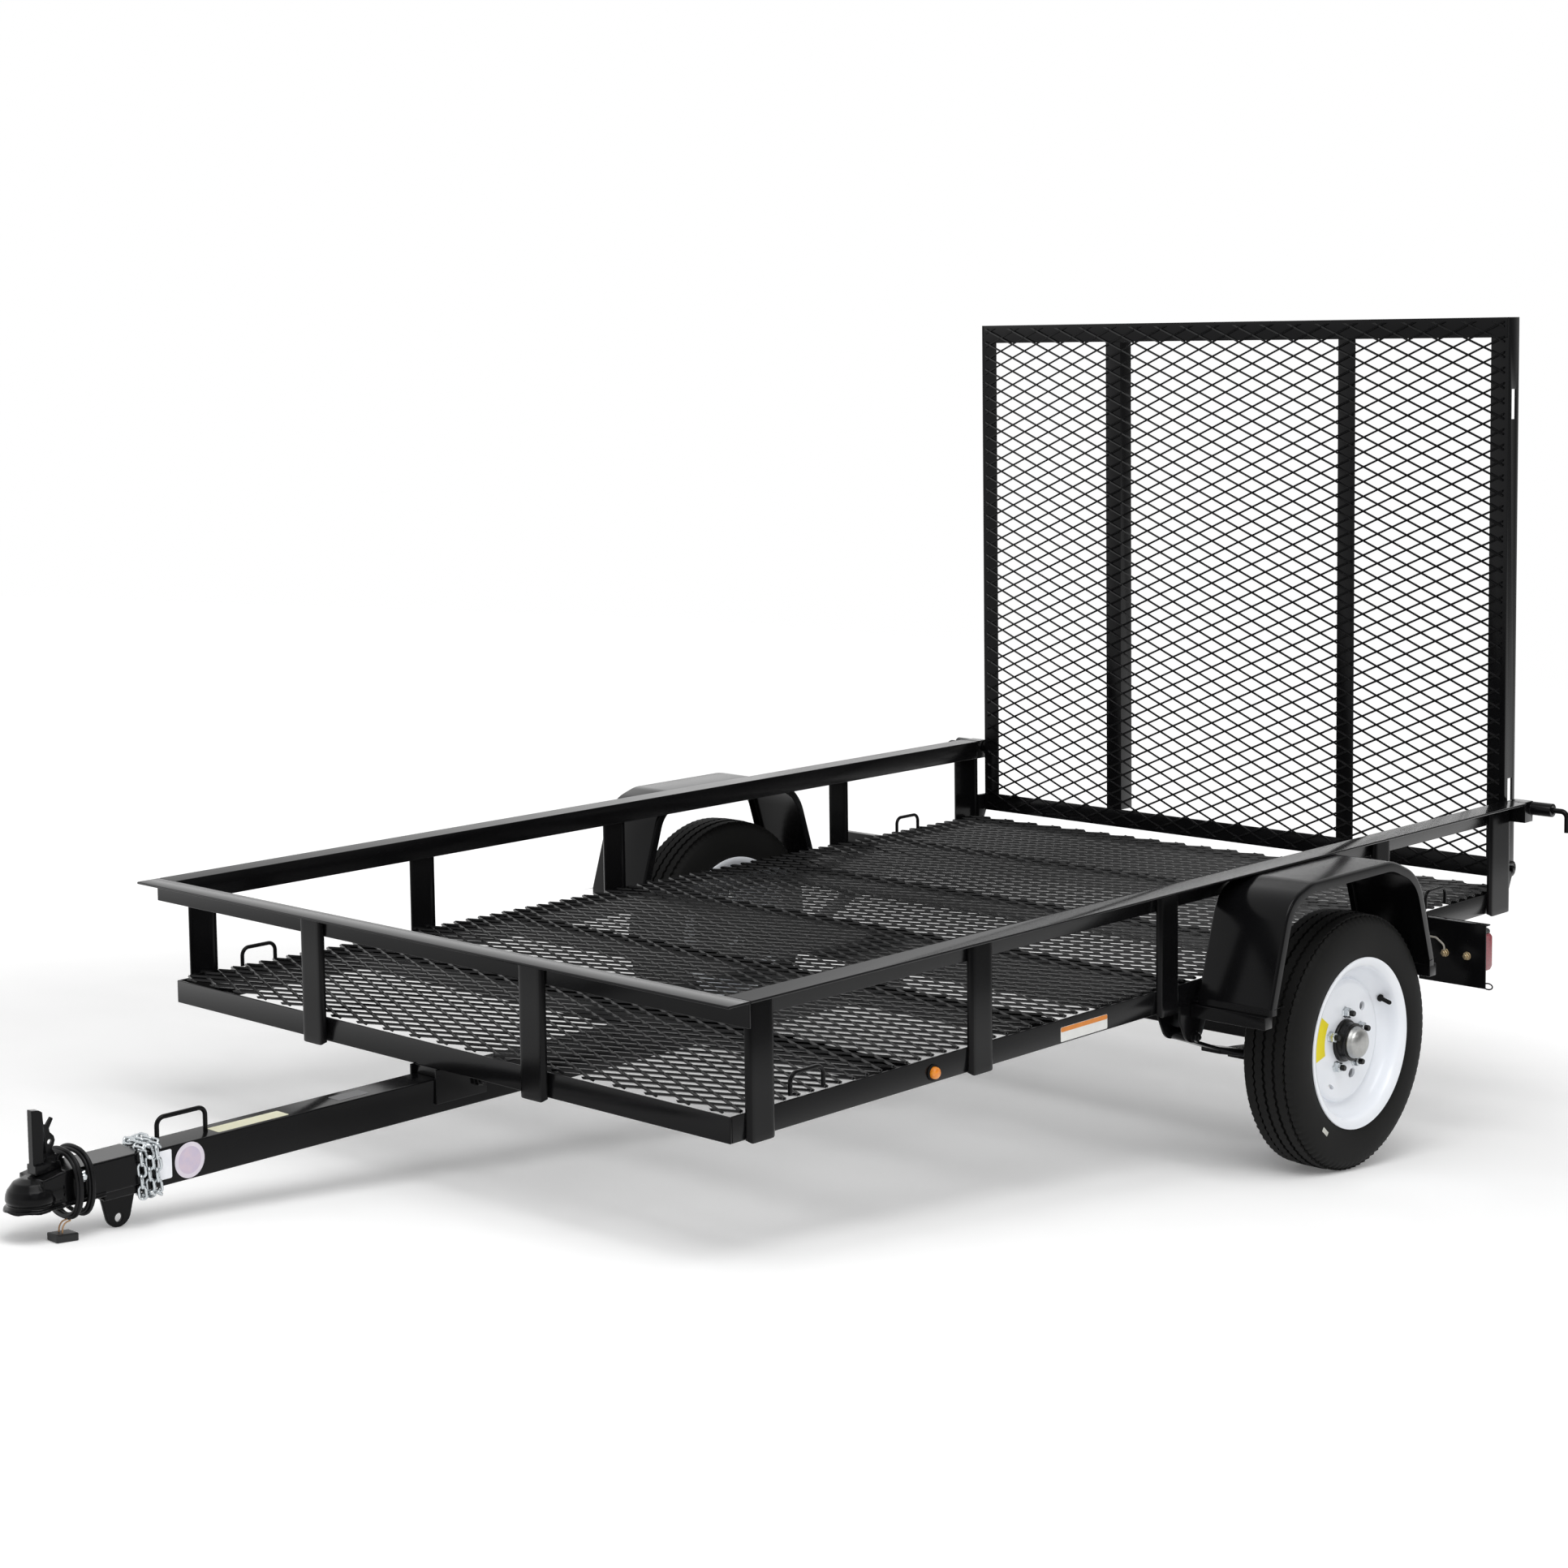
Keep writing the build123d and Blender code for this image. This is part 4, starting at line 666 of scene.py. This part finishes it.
label("rail_label_band", "E08A2C", "D27A20",
      rectangle(858.5, 997.5, 394, 402.5, lambda a, b: (side_face + 0.3, a, b)), (1, 0, 0))


# Springs: leaf packs slung under the axle tube, held to it by U-bolts through a clamp plate, and
# hung at both ends from rounded hangers of 5 mm plate on bolts through the leaves' eyes.
def loop_rod(points, radius, around=10):
    """A round rod along points, its ends closed."""
    count = len(points)
    rings = []
    first = points[1] - points[0]
    side = Vector((0, 1, 0)) if abs(first.x) > abs(first.y) + abs(first.z) else Vector((1, 0, 0))
    for i, spot in enumerate(points):
        way = (points[min(i + 1, count - 1)] - points[max(i - 1, 0)]).normalized()
        side = (side - way * side.dot(way)).normalized()
        other = way.cross(side)
        rings.append([spot + side * (radius * math.cos(a)) + other * (radius * math.sin(a))
                      for a in (2 * math.pi * j / around for j in range(around))])
    return skinned(rings)


def cut_plate(outline, thick, place, edge=0.8):
    """A flat plate cut to an outline; place turns (a, b, depth) into a point."""
    plate = skinned([[place(a, b, depth) for a, b in outline] for depth in (0, thick)])
    return evaluated(plate, ("BEVEL", {"width": edge, "segments": 2, "limit_method": "ANGLE",
                                       "angle_limit": math.radians(40)}))


axle_y, axle_z, spring_x, eye_z = 1612.0, 256.0, 733.0, 306.9
eye_reach, hanger_half, hanger_knee, frame_under = 335, 45, 344, 373
hangers, u_bolts, spring_nuts, eye_nuts = [], [], [], []
for sign in (1, -1):
    for eye_y in (axle_y - eye_reach, axle_y + eye_reach):
        outline = [(eye_y - hanger_half, frame_under), (eye_y - hanger_half, hanger_knee)]
        outline += [(eye_y + 34 * math.cos(a), eye_z + 22 + 34 * math.sin(a)) for a in
                    (math.radians(205 + 13 * i) for i in range(11))]
        outline += [(eye_y + hanger_half, hanger_knee), (eye_y + hanger_half, frame_under)]
        for x in (spring_x - 27.55, spring_x + 22.55):
            hangers.append(cut_plate(outline, 5.0, lambda a, b, depth: Vector((sign * (x + depth), a, b))))
        eye_nuts.append(facing((sign * (spring_x + 27.55), eye_y, eye_z), (sign, 0, 0), eye_y))
        bridge = [(eye_y - hanger_half, frame_under - 5), (eye_y + hanger_half, frame_under - 5),
                  (eye_y + hanger_half, frame_under), (eye_y - hanger_half, frame_under)]
        hangers.append(cut_plate(bridge, 45.0,
                                 lambda a, b, depth: Vector((sign * (spring_x - 22.5 + depth), a, b))))
    for x in (spring_x - 27.5, spring_x + 27.5):
        half, top, bend = 31.8, axle_z + 25.4 + 5.6, 12.0
        path = [Vector((sign * x, axle_y - half, 192)), Vector((sign * x, axle_y - half, top - bend))]
        path += [Vector((sign * x, axle_y - half + bend * (1 - math.cos(a)), top - bend + bend * math.sin(a)))
                 for a in (math.radians(22.5 * i) for i in range(1, 5))]
        path += [Vector((p.x, 2 * axle_y - p.y, p.z)) for p in path[::-1]]
        u_bolts.append(loop_rod(path, 5.6))
        spring_nuts += [facing((sign * x, axle_y + s * half, 201.6), (0, 0, -1), x) for s in (1, -1)]
settle(joined(hangers, "hangers"), "spring_hanger_plates", steel_black, replaced=["spring_hangers"], smooth=30)
settle(joined(u_bolts, "u_bolts"), "axle_u_bolts", steel_black, smooth=50)
nuts = spread_out("spring_nuts", hex_nut(18, 11), spring_nuts + eye_nuts, steel_black)
settle(nuts, "spring_nuts", steel_black, smooth=30)


# Fenders: one strip of 2 mm sheet each side, rolled round its bends, with a turned-down lip on
# both edges. They stand on their braces and are coated with the frame.
def rounded_line(corners, radii, steps=9):
    """A line of corners with each inner corner made an arc of its own radius."""
    line = [Vector(corners[0])]
    for before, here, after, radius in zip(corners, corners[1:], corners[2:], radii):
        here = Vector(here)
        to_before, to_after = (Vector(before) - here).normalized(), (Vector(after) - here).normalized()
        half = to_before.angle(to_after) / 2
        reach = radius / math.tan(half)
        middle = here + (to_before + to_after).normalized() * (radius / math.sin(half))
        start, end = here + to_before * reach - middle, here + to_after * reach - middle
        turn = start.angle_signed(end)
        for i in range(steps + 1):
            a = turn * i / steps
            c, s = math.cos(a), math.sin(-a)
            line.append(middle + Vector((start.x * c - start.y * s, start.x * s + start.y * c)))
    return line + [Vector(corners[-1])]


fender_foot = 373.2
fender_line = rounded_line([(1271, fender_foot), (1271, 388), (1334, 586), (1412, 610), (1706, 610),
                            (1806, 568), (1863, 388), (1863, fender_foot)], [6, 84, 90, 120, 110, 6])
lip_bend, outer, inner = 5.0, 940.0, 772.0
# The sheet's section, as (x, how far inside the outline): lip, bend, flat, bend, lip.
section = [(outer - 1, 19.5), (outer - 1, lip_bend + 1)]
section += [(outer - 1 - lip_bend * (1 - math.cos(a)), 1 + lip_bend * (1 - math.sin(a)))
            for a in (math.radians(22.5 * i) for i in range(1, 5))]
section += [(outer + inner - x, depth) for x, depth in section[::-1]]
for side, sign in (("left", 1), ("right", -1)):
    strips = []
    for i, spot in enumerate(fender_line):
        way = (fender_line[min(i + 1, len(fender_line) - 1)] - fender_line[max(i - 1, 0)]).normalized()
        spots = [(x, spot + Vector((way.y, -way.x)) * depth) for x, depth in section]
        strips.append([(sign * x, at.x, max(at.y, fender_foot)) for x, at in spots])
    sheet = evaluated(skinned(strips, wrapped=False),
                      ("SOLIDIFY", {"thickness": 1.9, "offset": 0.0, "use_even_offset": True}))
    settle(sheet, f"fender_rolled_{side}", steel_black, replaced=[f"fender_{side}"], smooth=32)


# Wheels: a 12 in white-enamelled pressed steel rim on a black painted hub with a drawn dust cap,
# and a ribbed trailer tyre whose shoulders are cut with fine slots.
# Cured rubber is a warm charcoal, duller where it has bloomed, with a fine mould texture.
rubber, tree, shader, place, _ = finish("tyre_rubber", "101010", "1B1B1A", 7.0, 5.0, Roughness=0.65,
                                        Specular_IOR_Level=0.15)
skin = add(tree, "ShaderNodeTexNoise", {"Vector": place, "Scale": 900.0, "Detail": 2.0})
bump = add(tree, "ShaderNodeBump", {"Height": skin.outputs["Fac"], "Strength": 0.25, "Distance": 0.0003})
tree.links.new(bump.outputs["Normal"], shader.inputs["Normal"])
# Sprayed enamel: a cool white with a fine peel, some 3 mm from crest to crest.
enamel, tree, shader, place, _ = finish("white_rim_enamel", "EEF2F8", "F9FBFF", 12.0, 3.0, Roughness=0.25,
                                        Specular_IOR_Level=0.5)
peel = add(tree, "ShaderNodeTexNoise", {"Vector": place, "Scale": 300.0, "Detail": 2.0})
bump = add(tree, "ShaderNodeBump", {"Height": peel.outputs["Fac"], "Strength": 0.08, "Distance": 0.0003})
tree.links.new(bump.outputs["Normal"], shader.inputs["Normal"])
# Cast iron under paint: the casting's grain of about 4 mm shows through.
hub_black, tree, shader, place, cast = finish("black_hub_paint", "060606", "111111", 260.0, 4.0,
                                              Roughness=0.35, Specular_IOR_Level=0.3)
bump = add(tree, "ShaderNodeBump", {"Height": cast, "Strength": 0.35, "Distance": 0.0006})
tree.links.new(bump.outputs["Normal"], shader.inputs["Normal"])
# A deep-drawn steel cap, dull zinc, its drawing marks a few mm apart.
drawn_zinc = finish("drawn_zinc_cap", "9C9C9A", "BCBCBA", 120.0, 3.0, Metallic=1.0, Roughness=0.36)[0]

# The left wheel's middle along x and half its tyre's width.
m, w = 865.0, 61.0
to_axle = Matrix.Translation((0, axle_y, axle_z))


def both_sides(mesh, name, material, replaced=(), smooth=35):
    """The left wheel's piece and its mirror image, each on its own wheel."""
    mesh.transform(to_axle)
    other = mesh.copy()
    other.transform(Matrix.Scale(-1, 4, (1, 0, 0)))
    other.flip_normals()
    for side, form in (("left", mesh), ("right", other)):
        settle(form, f"{name}_{side}", material, f"wheel_{side}", [f"{n}_{side}" for n in replaced],
               smooth)


tyre_profile = [(154, m - w + 12), (158, m - w + 7), (165, m - w + 4.4), (171.5, m - w + 4.6),
                (176, m - w + 2.4), (190, m - w + 0.7), (207, m - w), (224, m - w + 1.4), (236, m - w + 4.6),
                (240, m - w + 6.2), (246.5, m - w + 11), (250, m - w + 16)]
sidewall, tread_top, groove = len(tyre_profile), 256, 6.5
for x0, x1 in ((-43, -25), (-20, -3), (3, 20), (25, 43)):
    top = tread_top - 0.0016 * ((x0 + x1) / 2) ** 2
    tyre_profile += [(top - groove, m + x0 + 1), (top, m + x0), (top, m + (x0 + x1) / 2), (top, m + x1),
                     (top - groove, m + x1 - 1)]
tyre_profile += [(r, 2 * m - x) for r, x in tyre_profile[sidewall - 1::-1]]
lugs, steps_per_lug = 92, 4
rings = []
for i in range(lugs * steps_per_lug):
    a = 2 * math.pi * i / (lugs * steps_per_lug)
    ring = []
    for r, x in tyre_profile:
        off = abs(x - m)
        if 236 < r < 252 and off > 44:
            # A slot across the shoulder beside each lug.
            r -= (2.6 if off < 52 else 1.4) if i % steps_per_lug == 0 else 0
        elif r > 240:
            # The ribs' sides run in a zigzag, a lug's length to each tooth.
            x += (0.0, 1.7, 0.0, -1.7)[i % steps_per_lug]
        ring.append((x, r * math.cos(a), r * math.sin(a)))
    rings.append(ring)
both_sides(skinned(rings, closed=True), "tyre_tread", rubber, ["tyre"], 40)

rim_outer = [(43, m + 21.5), (44.5, m + 22), (60, m + 22), (112, m + 21.5), (119, m + 20.5), (122.5, m + 17.5),
             (123.5, m + 12.5), (126, m + 10.5), (131, m + 12), (138, m + 17), (145, m + 25), (148.3, m + 32),
             (149.6, m + 40), (151.5, m + 50), (155, m + 55), (161, m + 57.6), (166.5, m + 60),
             (170.4, m + 59.4), (171, m + 57), (170, m + 55.4), (165, m + 54), (157, m + 52.5), (153.7, m + 47)]
rim_inner = [(153.7, m - 47), (157, m - 52.5), (165, m - 54), (170, m - 55.4), (171, m - 57),
             (170.4, m - 59.4), (166.5, m - 60), (161, m - 57.6), (155, m - 55), (151.5, m - 50),
             (149.6, m - 40), (148, m - 6), (146, m + 2), (128, m + 5), (97, m + 13), (90, m + 16), (43, m + 16)]
rim = turned_piece(rim_outer + rim_inner, 128)
# Three openings in the disc: each at an angle and a radius, with its half height and half width.
holes = []
for angle, radius, tall, broad in ((43, 86, 10, 9), (-70, 75, 12, 9), (-120, 98, 11, 4)):
    a = math.radians(angle)
    ring = [(tall * math.cos(t), broad * math.sin(t)) for t in (math.radians(22.5 * i) for i in range(16))]
    holes.append(skinned([[(depth, (radius + v) * math.cos(a) - u * math.sin(a),
                            (radius + v) * math.sin(a) + u * math.cos(a)) for u, v in ring]
                          for depth in (m + 6, m + 30)]))
drill = bpy.data.objects.new("holes", joined(holes, "holes"))
bpy.context.scene.collection.objects.link(drill)
rim = evaluated(rim, ("BOOLEAN", {"operation": "DIFFERENCE", "object": drill, "solver": "EXACT"}))
bpy.data.objects.remove(drill)
both_sides(rim, "rim_enamelled", enamel, ["rim"], 34)

hub_profile = [(16.3, m - 30), (44, m - 30), (44, m + 7), (66, m + 7), (66, m + 16), (42.3, m + 16),
               (42.3, m + 25), (41, m + 27), (38, m + 28), (36.5, m + 38), (37.5, m + 40), (37.5, m + 43),
               (36, m + 44), (16.3, m + 44)]
both_sides(turned_piece(hub_profile, 64), "hub_painted", hub_black, ["hub"], 30)
cap_profile = [(0, m + 44), (31.4, m + 44), (32, m + 45), (32, m + 47), (31, m + 48.5), (30.4, m + 54),
               (28, m + 59.5), (22, m + 63.6), (14, m + 65.4), (6, m + 66), (0, m + 66)]
both_sides(turned_piece(cap_profile, 64), "hub_cap_drawn", drawn_zinc, ["hub_cap"], 50)
# Five studs on a 114.3 mm circle, each with a coned nut.
stud_circle = 57.15
nut_places = [facing((m + 21.9, stud_circle * math.cos(a), stud_circle * math.sin(a)), (1, 0, 0), a)
              for a in (math.radians(90 + 72 * i) for i in range(5))]
nut = turned_piece([(0, 0), (12, 0), (12, 1.5), (10.4, 3), (10.4, 12), (8, 14), (0, 14)], 6)
both_sides(spread_out("wheel_nuts", nut, nut_places, zinc), "wheel_nuts", zinc, smooth=30)
stud = turned_piece([(0, 10), (6, 10), (6, 20), (5, 22.5), (0, 22.5)], 14)
both_sides(spread_out("wheel_studs", stud, nut_places, hub_black), "wheel_studs", hub_black,
           smooth=40)
valve_a, valve_radius = math.radians(27), 141
valve = turned_piece([(0, 0), (7.5, 0), (7.5, 3), (4.6, 6), (4.2, 20), (3.4, 21), (4.4, 22), (4.4, 30),
                      (3.4, 31.5), (0, 31.5)], 14)
valve_turn = Vector((1, -0.35 * math.cos(valve_a), -0.35 * math.sin(valve_a)))
valve.transform(facing((m + 24, valve_radius * math.cos(valve_a), valve_radius * math.sin(valve_a)),
                       valve_turn))
both_sides(valve, "tyre_valve", rubber, smooth=40)

# Each wheel still carries its paper tag beside the hub, and its tyre a balance mark: left blank.
# Coated card: even yellow, its tone drifting a little in patches.
tag_yellow = finish("yellow_paper_tag", "F2DC0A", "F8EA3C", 40.0, Roughness=0.55, Specular_IOR_Level=0.3)[0]
arc = [(math.radians(a), r) for a, r in
       [(144 + 10 * i, 112) for i in range(6)] + [(194 - 10 * i, 74) for i in range(6)]]
tag = cut_plate([(r * math.cos(a), r * math.sin(a)) for a, r in arc], 0.6,
                lambda a, b, depth: Vector((m + 22.1 + depth, a, b)), 0.2)
both_sides(tag, "wheel_tag", tag_yellow, smooth=30)
# Wax crayon on rubber: broken white over the dark tyre.
mark_paint = finish("white_crayon_mark", "A8A8A0", "E8E8E0", 300.0, 3.0, Roughness=0.8,
                    Specular_IOR_Level=0.2)[0]
mark_a, mark_radius = math.radians(-130.8), 199
mark = cut_plate([(-11, -4.5), (11, -4.5), (11, 4.5), (-11, 4.5)], 0.5, lambda a, b, depth: Vector((
    m + w - 0.35 + depth, (mark_radius + b) * math.cos(mark_a) - a * math.sin(mark_a),
    (mark_radius + b) * math.sin(mark_a) + a * math.cos(mark_a))), 0.2)
both_sides(mark, "tyre_mark", mark_paint, smooth=30)


# Pins and spindles: machined steel spindles run in the hubs, and the gate hangs and latches on
# steel pins. The pins, the handle and the tie-down loops are coated with the frame.
# Turned steel: the tool's marks show as a fine mottle, drawn at 4 mm so that it shows.
machined = finish("machined_spindle_steel", "6F7173", "A3A5A7", 260.0, Metallic=1.0, Roughness=0.35)[0]
settle(edges_broken("spindles", 0.8), "spindles_turned", machined,
       replaced=["spindles"], smooth=None, level_mm=False)
settle(edges_broken("gate_hinge_pins", 1.4), "hinge_pins", steel_black,
       frame["nodes"]["gate_hinge_pins"]["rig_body"], ["gate_hinge_pins"], smooth=None,
       level_mm=False)
for node in ("latch_pins", "lift_handle", "tie_down_loops"):
    coated = frame["nodes"][node].data
    coated.materials.clear()
    coated.materials.append(steel_black)


# Tail lamps: a moulded black body and cap bolted behind each plate, a clear red lens on it, and
# two studs through the plate that the lamp's wire is fixed to. Prisms moulded in the lens, about
# 4 mm apart, break its colour into small cells.
lenses = {}
for name, light, dark in (("red_lens_acrylic", "9A2234", "6E0C1C"),
                          ("amber_lens_acrylic", "F09A2A", "E27A12")):
    lenses[name], tree, shader, place, cells = finish(name, light, dark, 240.0, cells=True, Roughness=0.16,
                                                      Specular_IOR_Level=0.5, Coat_Weight=0.4)
    bump = add(tree, "ShaderNodeBump", {"Height": cells, "Strength": 0.25, "Distance": 0.0008})
    tree.links.new(bump.outputs["Normal"], shader.inputs["Normal"])
settle(edges_broken("lamp_housings", 5.0, 4), "lamp_bodies", black_plastic,
       replaced=["lamp_housings"], smooth=None, level_mm=False)
settle(edges_broken("lamp_lenses", 4.0, 4), "lamp_lenses_moulded", lenses["red_lens_acrylic"],
       replaced=["lamp_lenses"], smooth=None, level_mm=False)
terminals, lamp_wires, tabs = [], [], []
for sign in (1, -1):
    terminals += [facing((sign * x, 2100, 343), (0, -1, 0), 0.2) for x in (826.0, 878.0)]
    path = rounded_line([(786, 374), (806, 374), (826, 360), (826, 346)], [12, 10], 5)
    lamp_wires.append(loop_rod([Vector((sign * p.x, 2094.5, p.y)) for p in path], 2.2, 8))
    # A slotted tab at the plate's lower outer corner ties the wiring back.
    oval = [(926.5 + 10.5 * math.cos(t), 284 + 6.5 * math.sin(t)) for t in
            (math.radians(20 * i) for i in range(18))]
    tabs.append(loop_rod([Vector((sign * x, 2101.6, z)) for x, z in oval + oval[:2]], 1.6, 8))
# Brass stud nuts, tarnished to a dull tan in small spots.
brass = finish("tarnished_brass_terminal", "9A8466", "CDBE9C", 320.0, 3.0, Metallic=1.0, Roughness=0.42)[0]
settle(spread_out("lamp_terminals", hex_nut(14, 9), terminals, brass), "lamp_terminals", brass,
       smooth=30)
# Thin PVC insulation, its grey a little uneven along the wire.
grey_wire = finish("grey_wire_insulation", "8C8880", "A8A49A", 200.0, Roughness=0.4, Specular_IOR_Level=0.4)[0]
settle(joined(lamp_wires, "lamp_wires"), "lamp_wires", grey_wire, smooth=50)
settle(joined(tabs, "lamp_tabs"), "lamp_plate_tabs", steel_black, smooth=50)

# Side markers: a domed amber lens in a rubber grommet, pressed into a hole in each side rail.
domes, grommets = [], []
for sign in (1, -1):
    dome = turned_piece([(0, 0), (10.8, 0), (10.8, 7), (9.8, 10.5), (7, 13), (3.5, 13.9), (0, 14)], 32)
    grommet = turned_piece([(10.8, 0.1), (14, 0.1), (14.4, 2.2), (13.2, 3.6), (11.4, 3.6), (10.8, 2.6)], 32)
    for group, form in ((domes, dome), (grommets, grommet)):
        form.transform(facing((sign * side_face, 499, 392), (sign, 0, 0)))
        group.append(form)
settle(joined(domes, "domes"), "marker_lenses", lenses["amber_lens_acrylic"],
       replaced=["side_markers"], smooth=50)
settle(joined(grommets, "grommets"), "marker_grommets", rubber, smooth=50)
